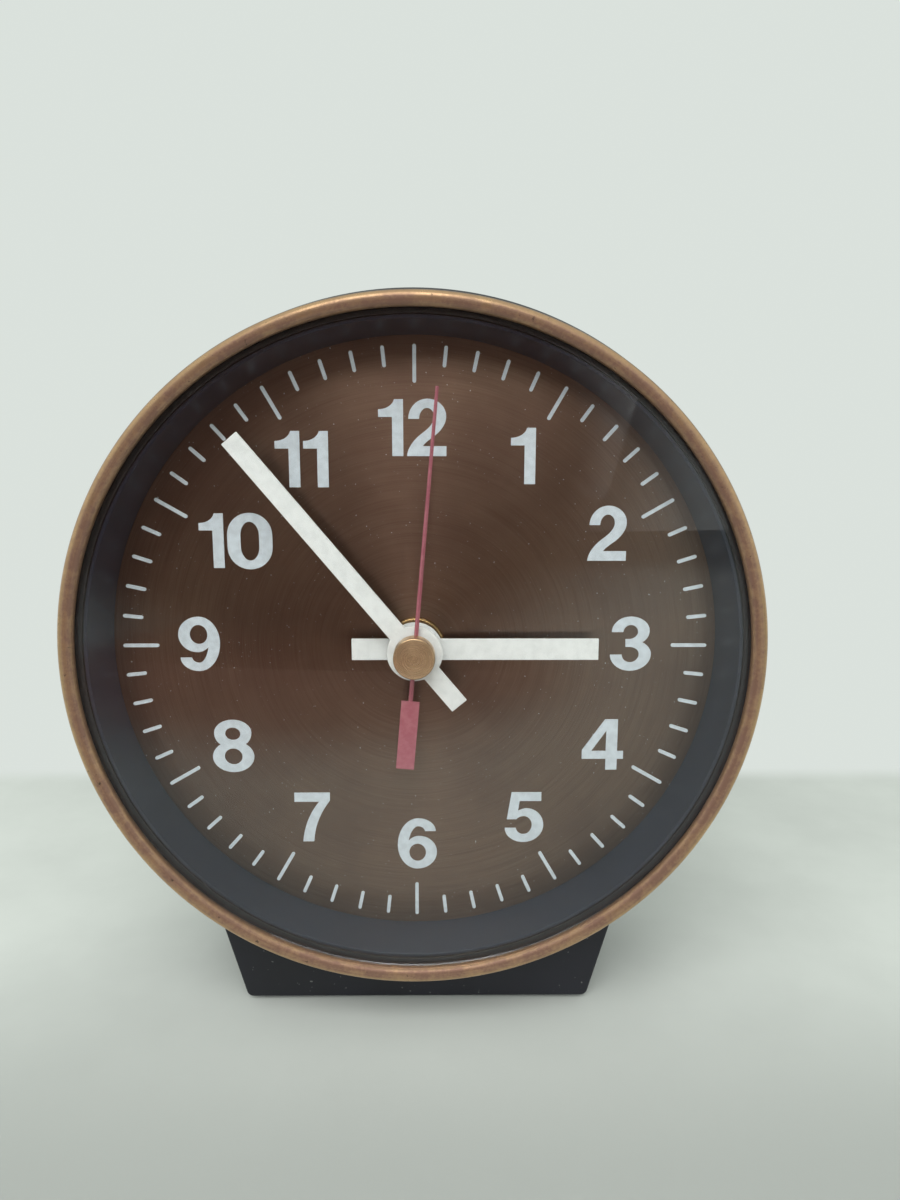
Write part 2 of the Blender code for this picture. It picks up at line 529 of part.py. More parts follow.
def escapement():
    tip = 5.0
    steps = [(toothed(FOURTH_M, ESCAPE_PINION_Z, ESCAPE_PINION_PHASE), inside(8.8), inside(10.2)),
             (sawtoothed(tip, tip - 1.2, 15), inside(11.2), inside(11.8))]
    place("escape_wheel", arbor(0.7, 0.7, steps), "bright_brass", ESCAPE)
    # Lever: two arms that straddle the escape wheel and one long arm towards the balance
    towards_wheel = ESCAPE_DIR + 180
    lobes = ((towards_wheel - 63, 5.2, 10), (towards_wheel + 63, 5.2, 10), (LEVER_DIR, 8.2, 5))
    ring = [(math.radians(a), 1.3) for a in range(0, 360, 30)
            if all(abs(math.remainder(a - direction, 360)) > 24 for direction, _, _ in lobes)]
    for direction, reach, spread_angle in lobes:
        for offset, radius in ((-22, 1.3), (-spread_angle, reach), (spread_angle, reach), (22, 1.3)):
            ring.append((math.radians(direction + offset), radius))
    place("pallet_lever", arbor(0.6, 0.6, [(ring, inside(11.1), inside(11.9))]), "steel", PALLET)
    # Balance: rim, crossbar and staff
    rim_r, rim = 8.5, (inside(12.7), inside(13.5))
    wheel = place("balance_wheel", pipe(rim_r - 1.1, rim_r, *rim, 32), "bright_brass", BALANCE)
    bar = extruded([(-0.8, -8.0), (0.8, -8.0), (0.8, 8.0), (-0.8, 8.0)], *rim)
    staff = turned([(circle(0.5, 8), FRONT_PLATE[0] + 0.1), (circle(0.5, 8), inside(10)), (circle(0.9, 8), inside(10)),
                    (circle(0.9, 8), inside(14.9)), (circle(0.5, 8), inside(14.9)), (circle(0.5, 8), inside(18.0))])
    combine(wheel, [place("bar", bar, "bright_brass", BALANCE, 65), place("staff", staff, "steel", BALANCE)], "UNION")
    place("hairspring", spiral(1.3, 4.6, 4, 0.15, inside(14.0), inside(14.5), 10), "blue_steel", BALANCE)
    bridge = extruded(round_box(10.0, 2.6, 2.5, 3), inside(17.1), inside(18.3))
    cock = place("balance_cock", bridge, "bright_brass", BALANCE, 65)
    feet = [place("foot", turned([(circle(1.7, 10), REAR_PLATE[1] + GAP), (circle(1.7, 10), inside(17.4))]),
                  "bright_brass", polar(8.0, angle, BALANCE)) for angle in (-65, 115)]
    combine(cock, feet, "UNION")
    drill(cock, [(BALANCE, HOLE_R)], inside(17), inside(18.4))
    # Regulator: a ring behind the cock with a finger that reaches out through the cover's slot
    ring = bar_ring(2.4, 0.8, 9.6, 0, 16)
    blade = turned([(circle(1.0, 12), inside(18.6)), (ring, inside(18.6)), (ring, inside(19.2)),
                    (circle(1.0, 12), inside(19.2))], closed=True)
    regulator = place("regulator_lever", blade, "steel", BALANCE, 150)
    finger = turned([(circle(0.7, 8), inside(18.9)), (circle(0.7, 8), COVER_Y + 3.0)])
    combine(regulator, [place("finger", finger, "steel", polar(8.8, -60, BALANCE))], "UNION")


# ---------------------------------------------------------------- motion work and hands

def motion_work():
    cannon = [(circle(1.2, 12), ahead(0.4)), (toothed(CANNON_M, CANNON_Z, CANNON_PHASE), ahead(0.4)),
              (toothed(CANNON_M, CANNON_Z, CANNON_PHASE), ahead(2.0)), (circle(1.7, 12), ahead(2.0)),
              (circle(1.7, 12), above_dial(MINUTE_LIFT + 0.1)), (circle(1.2, 12), above_dial(MINUTE_LIFT + 0.1))]
    place("cannon_pinion", turned(cannon, closed=True), "steel")
    wheel = toothed(CANNON_M, MINUTE_Z, MINUTE_PHASE)
    pinion = toothed(HOUR_M, MINUTE_PINION_Z, MINUTE_PINION_PHASE)
    stations = [(circle(0.7, 8), ahead(0.3)), (circle(1.6, 8), ahead(0.3)), (circle(1.6, 8), ahead(0.8)),
                (wheel, ahead(0.8)), (wheel, ahead(1.5)), (pinion, ahead(1.5)), (pinion, ahead(3.2)),
                (circle(0.7, 8), ahead(3.2))]
    place("minute_wheel", turned(stations, closed=True), "bright_brass", MINUTE)
    post = [(circle(0.58, 8), ahead(3.5)), (circle(0.58, 8), FRONT_PLATE[0] - GAP)]
    place("minute_wheel_stud", turned(post), "steel", MINUTE)
    hour = [(circle(1.82, 12), ahead(2.2)), (toothed(HOUR_M, HOUR_Z, HOUR_PHASE), ahead(2.2)),
            (toothed(HOUR_M, HOUR_Z, HOUR_PHASE), ahead(2.9)), (circle(2.3, 12), ahead(2.9)),
            (circle(2.3, 12), above_dial(HOUR_LIFT + 0.3)), (circle(1.82, 12), above_dial(HOUR_LIFT + 0.3))]
    place("hour_wheel", turned(hour, closed=True), "bright_brass")
    pinion = toothed(CANNON_M, SET_PINION_Z, SET_PHASE)
    setter = [(circle(0.9, 8), ahead(2.3)), (circle(0.9, 8), ahead(1.9)), (pinion, ahead(1.9)),
              (pinion, ahead(0.5)), (circle(0.9, 8), ahead(0.5)), (circle(0.9, 8), KNOB_Y + 3.0)]
    place("time_set_arbor", turned(setter), "steel", TIME_SET)
    alarm = [(circle(2.44, 12), ahead(3.8)), (toothed(ALARM_M, ALARM_Z, ALARM_PHASE), ahead(3.8)),
             (toothed(ALARM_M, ALARM_Z, ALARM_PHASE), ahead(4.5)), (circle(2.9, 12), ahead(4.5)),
             (circle(2.9, 12), above_dial(ALARM_LIFT)), (circle(2.44, 12), above_dial(ALARM_LIFT))]
    place("alarm_wheel", turned(alarm, closed=True), "bright_brass")
    setter = [(circle(0.9, 8), ahead(5.2)), (circle(0.9, 8), ahead(4.7)),
              (toothed(ALARM_M, ALARM_SET_Z, ALARM_SET_PHASE), ahead(4.7)),
              (toothed(ALARM_M, ALARM_SET_Z, ALARM_SET_PHASE), ahead(3.7)), (circle(0.9, 8), ahead(3.7)),
              (circle(0.9, 8), KNOB_Y + 3.0)]
    place("alarm_set_arbor", turned(setter), "steel", ALARM_SET)


def hand(name, lift, thickness, bore, ring, turn, material):
    front, back = above_dial(lift), above_dial(lift - thickness)
    stations = [(circle(bore, 24), back), (circle(bore, 24), front), (ring, front), (ring, back)]
    place(name, turned(stations, closed=True), material, CENTRE, turn)


def hands():
    hub = 4.45
    hand("alarm_hand", ALARM_LIFT - 0.05, 0.35, 3.0, bar_ring(4.0, 0.6, 22.0), ALARM_TURN, "black_plastic")
    hand("hour_hand", HOUR_LIFT, 0.5, 2.4, bar_ring(hub, 1.75, 29.8, 10.3), HOUR_TURN, "white_paint")
    hand("minute_hand", MINUTE_LIFT, 0.5, 1.8, bar_ring(hub, 1.5, 43.9, 11.2), MINUTE_TURN, "white_paint")
    needle, hub, weight = 0.32, 2.6, 1.45
    rise = math.degrees(math.asin(needle / hub))
    outline = [(needle, 41.6), (-needle, 41.6)] + arc(CENTRE, hub, 90 + rise, 270 - rise, 8)
    outline += [(-needle, -7.6), (-weight, -7.6), (-weight, -18.9), (weight, -18.9), (weight, -7.6), (needle, -7.6)]
    outline += arc(CENTRE, hub, 270 + rise, 450 - rise, 8)
    blade = extruded(outline, above_dial(SECONDS_LIFT), above_dial(SECONDS_LIFT - 0.3))
    place("seconds_hand", blade, "red_paint", CENTRE, SECONDS_TURN)
    cap = [(circle(2.9, 24), above_dial(CAP_LIFT)), (circle(3.28, 24), above_dial(CAP_LIFT - 0.35)),
           (circle(3.28, 24), above_dial(SECONDS_LIFT + GAP))]
    place("hand_cap", turned(cap), "bright_brass")


# ---------------------------------------------------------------- alarm work and rear controls

def alarm_work():
    barrel("alarm", ALARM_BARREL, ALARM_GREAT_M, ALARM_GREAT_Z, 0.0, 9.5, 8.6, 3)
    steps = [(toothed(ALARM_GREAT_M, ALARM_PINION_Z, ALARM_PINION_PHASE), inside(1.7), inside(3.2)),
             (sawtoothed(5.0, 3.6, 12), inside(9.8), inside(10.6))]
    place("alarm_escape_wheel", arbor(0.8, 0.8, steps), "bright_brass", ALARM_ESCAPE)
    # Hammer: a verge with two pallets beside the escape wheel, and a long arm that carries the head
    towards_wheel = HAMMER_DIR + 180
    lobes = ((towards_wheel - 67, 5.2, 10), (towards_wheel + 67, 5.2, 10))
    ring = [(math.radians(a), 1.5) for a in range(0, 360, 30)
            if all(abs(math.remainder(a - direction, 360)) > 24 for direction, _, _ in lobes)]
    for direction, reach, spread_angle in lobes:
        for offset, radius in ((-22, 1.5), (-spread_angle, reach), (spread_angle, reach), (22, 1.5)):
            ring.append((math.radians(direction + offset), radius))
    hammer = place("alarm_hammer", arbor(0.8, 0.8, [(ring, inside(9.8), inside(10.6))]), "steel", HAMMER)
    arm = extruded([(-0.9, 0.0), (0.9, 0.0), (0.8, 20.8), (-0.8, 20.8)], inside(11.0), inside(11.9))
    head = turned([(circle(2.0, 12), inside(9.4)), (circle(2.0, 12), inside(13.4))])
    combine(hammer, [place("arm", arm, "steel", HAMMER), place("head", head, "steel", (HAMMER[0], HAMMER[1] + 20.8))],
            "UNION")
    gong_in, gong_out, first, last = 48.2, 49.4, 20, 96
    outline = arc(CENTRE, gong_out, first, last, 24)
    foot_half = 2.0
    post_x, post_z = GONG_POST
    outline += [(post_x - foot_half, post_z - 2.0), (post_x + foot_half, post_z - 2.0),
                (post_x + foot_half, math.sqrt(gong_in ** 2 - (post_x + foot_half) ** 2))]
    join = math.degrees(math.atan2(outline[-1][1], outline[-1][0]))
    outline += arc(CENTRE, gong_in, join, first, 24)[1:]
    place("gong", extruded(outline, inside(9.0), inside(13.0)), "steel")
    post = turned([(circle(1.8, 10), FRONT_PLATE[1] + GAP), (circle(1.8, 10), inside(9.0) - GAP)])
    place("gong_post", post, "bright_brass", GONG_POST)


def knob(name, at, radius, flutes, material):
    """Fluted knob pressed on the end of an arbor."""
    ring = []
    for i in range(flutes):
        middle = TAU * i / flutes
        ring += [(middle - 0.2 * TAU / flutes, radius), (middle + 0.2 * TAU / flutes, radius),
                 (middle + 0.5 * TAU / flutes, radius - 0.35)]
    stations = [(circle(1.05, 8), KNOB_Y + 3.2), (circle(1.05, 8), KNOB_Y), (circle(2.2, 16), KNOB_Y),
                (circle(2.2, 16), KNOB_Y + 1.0), (ring, KNOB_Y + 1.0), (ring, KNOB_Y + 5.4),
                (circle(radius - 0.9, 24), KNOB_Y + 6.0)]
    place(name, turned(stations), material, at)


def rear_controls():
    click = polar(9.6, 70, BARREL)
    winder("time", BARREL, 6.0, click, 180 + 90 - 70)
    click = polar(8.6, 80, ALARM_BARREL)
    winder("alarm", ALARM_BARREL, 5.0, click, 180 + 90 - 80)
    knob("time_set_knob", TIME_SET, 4.6, 14, "black_plastic")
    knob("alarm_set_knob", ALARM_SET, 4.0, 12, "black_plastic")
    stations = [(circle(1.0, 8), inside(12.6)), (circle(1.0, 8), KNOB_Y + 3.6), (circle(3.0, 20), KNOB_Y + 3.6),
                (circle(3.0, 20), KNOB_Y + 6.0), (circle(2.5, 20), KNOB_Y + 6.4)]
    place("alarm_stop_button", turned(stations), "red_paint", STOP)


case_shell()
bezel_ring()
crystal()
dial_and_surround()
plinth()
rear_cover()
movement_frame()
going_train()
escapement()
motion_work()
hands()
alarm_work()
rear_controls()
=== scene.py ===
import json
import math

import bmesh
import bpy
from mathutils import Matrix, Vector


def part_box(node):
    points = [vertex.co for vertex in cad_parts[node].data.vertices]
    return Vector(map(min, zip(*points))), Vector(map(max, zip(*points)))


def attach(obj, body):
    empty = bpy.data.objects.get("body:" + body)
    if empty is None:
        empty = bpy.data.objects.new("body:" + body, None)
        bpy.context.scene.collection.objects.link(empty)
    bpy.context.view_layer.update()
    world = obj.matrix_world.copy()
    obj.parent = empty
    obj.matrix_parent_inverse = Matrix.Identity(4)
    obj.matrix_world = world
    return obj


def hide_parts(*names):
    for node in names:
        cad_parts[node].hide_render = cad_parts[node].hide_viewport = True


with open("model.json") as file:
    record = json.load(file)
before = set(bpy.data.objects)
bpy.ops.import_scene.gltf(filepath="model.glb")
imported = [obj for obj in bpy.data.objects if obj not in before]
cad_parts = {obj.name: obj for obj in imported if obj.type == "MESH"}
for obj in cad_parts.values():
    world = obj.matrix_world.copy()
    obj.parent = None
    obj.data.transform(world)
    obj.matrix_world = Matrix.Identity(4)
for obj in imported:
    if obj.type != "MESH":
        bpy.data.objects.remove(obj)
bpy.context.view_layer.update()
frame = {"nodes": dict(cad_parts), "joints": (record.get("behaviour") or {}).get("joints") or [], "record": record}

# ---------------------------------------------------------------- drum
# The case is a moulded drum of satin black plastic. Its front spigot carries the brass ring, a
# shelf inside it carries the dial, and its back edge is a seat for the cover.

MM = 0.001
TAU = 2 * math.pi


class Wire:
    """A socket of a finish or of a geometry tree. Arithmetic on it adds Math nodes."""

    def __init__(self, socket):
        self.socket = socket

    def node(self, kind, settings, values, output=0):
        """Add a node, set it up, and fill its sockets with values or with wires."""
        tree = self.socket.id_data
        made = tree.nodes.new(kind)
        for key, value in settings.items():
            setattr(made, key, value)
        for key, value in values.items():
            if isinstance(value, Wire):
                tree.links.new(value.socket, made.inputs[key])
            else:
                made.inputs[key].default_value = value
        return Wire(made.outputs[output])

    def split(self):
        """The x, y and z of a vector."""
        return [Wire(part) for part in self.node("ShaderNodeSeparateXYZ", {}, {0: self}).socket.node.outputs]

    def math(self, operation, *values):
        return self.node("ShaderNodeMath", {"operation": operation}, dict(enumerate((self, *values))))

    def __add__(self, other):
        return self.math("ADD", other)

    __radd__ = __add__

    def __mul__(self, other):
        return self.math("MULTIPLY", other)

    __rmul__ = __mul__

    def __sub__(self, other):
        return self.math("SUBTRACT", other)

    def __rsub__(self, other):
        return self.node("ShaderNodeMath", {"operation": "SUBTRACT"}, {0: other, 1: self})

    def __pow__(self, other):
        return self.math("POWER", other)

    def span(self, low, high, start=0.0, end=1.0):
        """The wire's stretch from low to high, spread over start to end and held there."""
        return self.node("ShaderNodeMapRange", {"interpolation_type": "SMOOTHSTEP"},
                         {0: self, 1: low, 2: high, 3: start, 4: end})

    def between(self, first, second):
        """A colour that goes from first to second as the wire goes from 0 to 1."""
        first, second = (c if isinstance(c, Wire) else (*c, 1) for c in (first, second))
        return self.node("ShaderNodeMix", {"data_type": "RGBA"}, {0: self, 6: first, 7: second}, 2)

    def noise(self, scale, detail=2.0, roughness=0.5):
        return self.node("ShaderNodeTexNoise", {},
                         {"Vector": self, "Scale": scale, "Detail": detail, "Roughness": roughness})

    def bump(self, distance):
        """A normal for this height; distance is the height of 1, in metres."""
        return self.node("ShaderNodeBump", {}, {"Height": self, "Distance": distance, "Strength": 1.0})


def new_finish(name, metallic=0.0):
    """A material, its shader, and the wire that says where a point of the piece is."""
    material = bpy.data.materials.new(name)
    material.use_nodes = True
    shader = material.node_tree.nodes["Principled BSDF"]
    shader.inputs["Metallic"].default_value = metallic
    where = material.node_tree.nodes.new("ShaderNodeTexCoord").outputs["Object"]
    return material, shader, Wire(where)


def feed(shader, **sockets):
    """Join wires to the shader, or set its plain values."""
    for name, value in sockets.items():
        socket = shader.inputs[name.replace("_", " ")]
        if isinstance(value, Wire):
            socket.id_data.links.new(value.socket, socket)
        else:
            socket.default_value = value


def shaded(colour, share):
    """A colour made lighter or darker by a share."""
    return tuple(share * part for part in colour)


def moulded_black(name, roughness=0.36, shade=0.014, blue=1.12):
    """Satin black plastic: a fine moulded grain, faint clouding and a few dust specks."""
    material, shader, where = new_finish(name)
    cloud = where.noise(55, 4, 0.6)
    grain = where.noise(4200, 2)
    dust = where.noise(1500, 1).span(0.73, 0.80)
    deep = (shade, shade, shade * blue)
    black = cloud.span(0.3, 0.7).between(deep, shaded(deep, 1.7))
    feed(shader, Base_Color=(dust * 0.35).between(black, (0.30, 0.30, 0.29)),
         Roughness=cloud.span(0.25, 0.75, roughness - 0.05, roughness + 0.08),
         Normal=grain.bump(0.000012))
    return material


def softened(corners, closed=False, steps=4):
    """A profile of (radius, depth) corners. A third number rounds a corner to that radius."""
    points = []
    count = len(corners)
    for i, (x, y, *fillet) in enumerate(corners):
        here = Vector((x, y))
        if not fillet or (not closed and i in (0, count - 1)):
            points.append(here)
            continue
        before = (Vector(corners[i - 1][:2]) - here).normalized()
        after = (Vector(corners[(i + 1) % count][:2]) - here).normalized()
        half = before.angle(after) / 2
        middle = here + (before + after).normalized() * fillet[0] / math.sin(half)
        first, last = (here + side * fillet[0] / math.tan(half) - middle for side in (before, after))
        points += [middle + first.slerp(last, k / steps) * fillet[0] for k in range(steps + 1)]
    return points


WELD = 1e-4  # millimetres; nearer points of a mesh are one


def turned(profile, at=(0.0, 0.0), closed=False, sides=192, flutes=0, fluted=(), scallop=0.42):
    """A profile of (radius, depth) points spun about an axis along y. Points in fluted are scalloped."""
    build = bmesh.new()
    rings = []
    for place, (radius, depth) in enumerate(profile):
        ring = []
        for i in range(sides):
            angle = TAU * i / sides
            reach = radius
            if place in fluted:
                reach -= scallop * (0.5 - 0.5 * math.cos(flutes * angle)) ** 3
            across, up = reach * math.cos(angle), reach * math.sin(angle)
            ring.append(build.verts.new((at[0] + across, depth, at[1] + up)))
        rings.append(ring)
    pairs = list(zip(rings, rings[1:])) + ([(rings[-1], rings[0])] if closed else [])
    for near, far in pairs:
        for i in range(sides):
            j = (i + 1) % sides
            build.faces.new((near[i], near[j], far[j], far[i]))
    if not closed:
        for (radius, _), ring in ((profile[0], rings[0]), (profile[-1], rings[-1][::-1])):
            if radius:
                build.faces.new(ring)
    bmesh.ops.remove_doubles(build, verts=build.verts, dist=WELD)
    bmesh.ops.recalc_face_normals(build, faces=build.faces)
    return build


def stood(name, build):
    """An object of a mesh that was built in millimetres about the dial's centre."""
    bmesh.ops.scale(build, vec=(MM, MM, MM), verts=build.verts)
    bmesh.ops.translate(build, vec=(0, 0, HUB_Z * MM), verts=build.verts)
    mesh = bpy.data.meshes.new(name)
    build.to_mesh(mesh)
    build.free()
    piece = bpy.data.objects.new(name, mesh)
    bpy.context.collection.objects.link(piece)
    return piece


def settled(piece):
    """A plain mesh of an object as its modifiers leave it."""
    bpy.context.view_layer.update()
    return bpy.data.meshes.new_from_object(piece.evaluated_get(bpy.context.evaluated_depsgraph_get()))


SHARP = 32  # degrees; a steeper edge stays crisp


def fit(name, build, material, body, nodes=(), bevel=0.0, sharp=SHARP):
    """Make a piece of a mesh, smooth but for its sharp edges, and hang it on its body."""
    piece = stood(name, build)
    piece.data.shade_smooth()
    piece.data.set_sharp_from_angle(angle=math.radians(sharp))
    piece.data.materials.append(material)
    if bevel:
        edge = piece.modifiers.new("edge", "BEVEL")
        edge.width, edge.segments, edge.limit_method = bevel * MM, 3, "ANGLE"
        edge.angle_limit = math.radians(sharp)
        edge.harden_normals = True
    return hang(piece, body, nodes)


def hang(piece, body, nodes=()):
    """Hang a piece on the body that carries it, and hide the CAD nodes that it stands for."""
    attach(piece, body)
    if nodes:
        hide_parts(*nodes)
    return piece


def size(node):
    """A CAD node's lowest and highest corners in millimetres, with height from the dial's centre."""
    low, high = (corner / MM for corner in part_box(node))
    return low - Vector((0, 0, HUB_Z)), high - Vector((0, 0, HUB_Z))


HUB_Z = sum(corner.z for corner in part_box("bezel_ring")) / 2 / MM
case_low, case_high = size("case_shell")
case_r = case_high.x
bezel_low, bezel_high = size("bezel_ring")
bezel_r = bezel_high.x
dial_y = size("dial_plate")[0].y
cover_y = size("rear_cover")[0].y

spigot_bore, spigot_r, shoulder_y = 51.9, 53.2, dial_y - 3.2
cover_seat_r, ledge_r, ledge_y = 53.0, 50.6, cover_y - 0.3
wall_r, shelf_r, shelf_front, shelf_back = case_r - 2.6, 47.6, dial_y + 0.7, dial_y + 2.1
drum = softened([
    (spigot_bore, case_low.y, 0.3), (spigot_r, case_low.y, 0.2), (spigot_r, shoulder_y),
    (case_r, shoulder_y, 0.9), (case_r, case_high.y, 2.0), (cover_seat_r, case_high.y, 0.3),
    (cover_seat_r, ledge_y), (ledge_r, ledge_y), (ledge_r, cover_y - 3.0), (wall_r, cover_y - 4.5),
    (wall_r, shelf_back), (shelf_r, shelf_back), (shelf_r, shelf_front), (spigot_bore, shelf_front)],
    closed=True, steps=6)
fit("drum", turned(drum, closed=True, sides=256), moulded_black("drum_plastic"),
    "case", ["case_shell"])

# ---------------------------------------------------------------- plinth
# A short foot of the same plastic, wider at the top, moulded with a saddle for the drum. Its lower
# corners are rounded a little.

plinth_low, plinth_high = size("plinth")
half_foot, flare, foot_corner = 30.1, 0.31, 1.3
saddle_r, saddle_lap = case_r + 0.3, 1.5


def along_arc(middle, radius, start, end, steps):
    """Points of an arc, by degrees."""
    angles = (math.radians(start + (end - start) * i / steps) for i in range(steps + 1))
    return [(middle[0] + radius * math.cos(a), middle[1] + radius * math.sin(a)) for a in angles]


def extruded(outline, front, back, upright=False):
    """An outline pulled along y from front to back or, when upright, of (x, y) along z."""
    build = bmesh.new()
    ends = []
    for depth in (front, back):
        ends.append([build.verts.new((x, y, depth) if upright else (x, depth, y)) for x, y in outline])
    build.faces.new(ends[0])
    build.faces.new(ends[1][::-1])
    for i in range(len(outline)):
        j = (i + 1) % len(outline)
        build.faces.new((ends[0][i], ends[1][i], ends[1][j], ends[0][j]))
    bmesh.ops.recalc_face_normals(build, faces=build.faces)
    return build


def foot_outline():
    """The foot from the front: its sides lean out until they meet the saddle."""
    reach = half_foot
    while plinth_low.z + (reach - half_foot) / flare < -math.sqrt(saddle_r ** 2 - reach ** 2):
        reach += 0.01
    top = math.degrees(math.acos(reach / saddle_r)) + saddle_lap
    right = along_arc((half_foot - foot_corner, plinth_low.z + foot_corner), foot_corner, 270, 345, 10)
    left = [(-x, z) for x, z in reversed(right)]
    return left + right + along_arc((0, 0), saddle_r, 360 - top, 180 + top, 64)


fit("plinth_foot", extruded(foot_outline(), plinth_low.y, plinth_high.y),
    moulded_black("plinth_plastic", 0.42, 0.0055, 1.6), "case", ["plinth"], bevel=0.55)

# ---------------------------------------------------------------- sole pad
# A thin pad of black rubber with round corners, glued under the foot so that the clock doesn't slide.
# The steel ballast plate above it keeps its plain shape.


def rubber(name):
    """Matte black rubber with a fine dull grain."""
    material, shader, where = new_finish(name)
    grain = where.noise(3000, 3)
    feed(shader, Base_Color=grain.span(0.3, 0.7).between((0.010, 0.010, 0.011), (0.024, 0.024, 0.025)),
         Roughness=grain.span(0.3, 0.7, 0.75, 0.95), Normal=grain.bump(0.00003))
    return material


pad_low, pad_high = size("base_pad")
pad_middle = (pad_low + pad_high) / 2
pad_corner = 2.5
pad_outline = []
for sx, sy, start in ((1, 1, 0), (-1, 1, 90), (-1, -1, 180), (1, -1, 270)):
    corner_x = sx * (pad_high.x - pad_corner)
    corner_y = pad_middle.y + sy * (pad_high.y - pad_middle.y - pad_corner)
    pad_outline += along_arc((corner_x, corner_y), pad_corner, start, start + 90, 8)
fit("sole_pad", extruded(pad_outline, pad_low.z, pad_high.z, upright=True), rubber("pad_rubber"),
    "case", ["base_pad"], bevel=0.15)

# ---------------------------------------------------------------- rear cover
# A moulded disc with a turned step near its edge closes the drum. It is drilled for the keys, the
# knobs and the stop button, and slotted for the regulator's finger.


def middle_of(node):
    """Where the middle of a piece lies on the face, in millimetres from the dial's centre."""
    low, high = size(node)
    return (low.x + high.x) / 2, (low.z + high.z) / 2


def axis_of(node):
    """Where the axis of a piece that turns lies on the face."""
    joint = next(j for j in frame["joints"] if node in frame["record"]["behaviour"]["bodies"][j["child"]])
    return joint["pos_m"][0] / MM, joint["pos_m"][2] / MM - HUB_Z


cover_low, cover_high = size("rear_cover")
cover_r, groove_y = cover_high.x, cover_high.y - 0.35
cover = turned(softened([(0.0, cover_low.y), (cover_r, cover_low.y, 0.1), (cover_r, cover_high.y, 0.5),
                         (cover_r - 3.0, cover_high.y, 0.2), (cover_r - 3.4, groove_y, 0.2),
                         (cover_r - 4.6, groove_y, 0.2), (cover_r - 5.0, cover_high.y, 0.2),
                         (0.0, cover_high.y)]), sides=256)
key_hole, knob_hole, countersink, sink_depth = 2.4, 1.5, 0.9, 0.5
holes = []
for at, radius in ((axis_of("time_winding_arbor"), key_hole), (axis_of("alarm_winding_arbor"), key_hole),
                   (axis_of("time_set_arbor"), knob_hole), (axis_of("alarm_set_arbor"), knob_hole),
                   (middle_of("alarm_stop_button"), knob_hole)):
    sink_y = cover_high.y - sink_depth
    holes.append(turned([(radius + countersink, cover_high.y + 1), (radius + countersink, sink_y),
                         (radius, sink_y), (radius, cover_low.y - 1)], at, sides=48))
balance = axis_of("balance_wheel")
holes.append(extruded(along_arc(balance, 10.0, -90, -30, 16) + along_arc(balance, 7.6, -30, -90, 16),
                      cover_low.y - 1, cover_high.y + 1))


def cut_out(piece, cutters):
    """Take the cutters' shapes out of a piece."""
    for cutter in cutters:
        tool = stood("cutter", cutter)
        cut = piece.modifiers.new("cut", "BOOLEAN")
        cut.operation, cut.object = "DIFFERENCE", tool
        result = settled(piece)
        piece.modifiers.clear()
        piece.data = result
        bpy.data.objects.remove(tool)
    piece.data.set_sharp_from_angle(angle=math.radians(SHARP))


cut_out(fit("back_cover", cover, moulded_black("cover_plastic", 0.46, 0.017), "case",
            ["rear_cover"]), holes)

# ---------------------------------------------------------------- cover screws
# Three slotted steel screws with domed heads hold the cover. Each slot stands as it stopped.


def steel(name, shade=(0.46, 0.46, 0.47), roughness=0.3):
    """Ground steel: fine scratches in all directions over a soft sheen."""
    material, shader, where = new_finish(name, metallic=1.0)
    smear = where.noise(240, 4, 0.6)
    scratch = where.noise(5200, 2)
    feed(shader, Base_Color=smear.span(0.3, 0.75).between(shade, shaded(shade, 0.72)),
         Roughness=smear.span(0.3, 0.7, roughness - 0.06, roughness + 0.12), Normal=scratch.bump(0.000004))
    return material


screw_steel = steel("screw_steel", (0.40, 0.40, 0.41), 0.28)
screw_r, slot_depth, half_slot = 2.3, 0.6, 0.3
for side, lean in (("left", 20), ("right", 75), ("top", -35)):
    node = f"cover_screw_{side}"
    at, head = middle_of(node), size(node)[1].y
    foot = cover_high.y + 0.15
    build = turned(softened([(0.0, foot), (screw_r, foot), (screw_r, head - 0.25, 0.1),
                             (screw_r - 0.7, head, 0.4), (0.0, head)]), at, sides=64)
    along = Vector((math.cos(math.radians(lean)), math.sin(math.radians(lean))))
    half_width = Vector((-along.y, along.x)) * half_slot
    corners = [Vector(at) + along * 3 * a + half_width * b for a, b in ((-1, -1), (1, -1), (1, 1), (-1, 1))]
    cut_out(fit(f"screw_{side}", build, screw_steel, "case", [node]),
            [extruded(corners, head - slot_depth, head + 1)])

# ---------------------------------------------------------------- movement
# Inside stand two rolled brass plates on four pillars, with the going train, the alarm train, the
# motion work, two springs in their barrels, and the gong. They and the black alarm hand keep the
# drawing's shapes, and each metal gets its own finish.


def rolled_brass(name, shade=(0.60, 0.42, 0.18), roughness=0.3):
    """Rolled brass: long faint rolling lines and a few darker stains."""
    material, shader, where = new_finish(name, metallic=1.0)
    stain = where.noise(160, 5, 0.6)
    lines = where.node("ShaderNodeMapping", {}, {"Vector": where, "Scale": (9000, 60, 60)}).noise(1.0, 2)
    feed(shader, Base_Color=stain.span(0.35, 0.8).between(shade, shaded(shade, 0.6)),
         Roughness=stain.span(0.3, 0.7, roughness - 0.06, roughness + 0.12), Normal=lines.bump(0.000003))
    return material


movement_finishes = {
    "movement_brass": rolled_brass("rolled_brass"),
    "movement_steel": steel("ground_steel"),
    "spring_steel": steel("blued_spring", (0.05, 0.08, 0.20), 0.25),
    "black_hand_paint": moulded_black("alarm_hand_black", 0.5, 0.012),
}
slots = {part["node"]: part["material_slot"] for part in frame["record"]["subparts"]}
for node, piece in frame["nodes"].items():
    if slots[node] in movement_finishes:
        for holder in piece.material_slots:
            holder.material = movement_finishes[slots[node]]

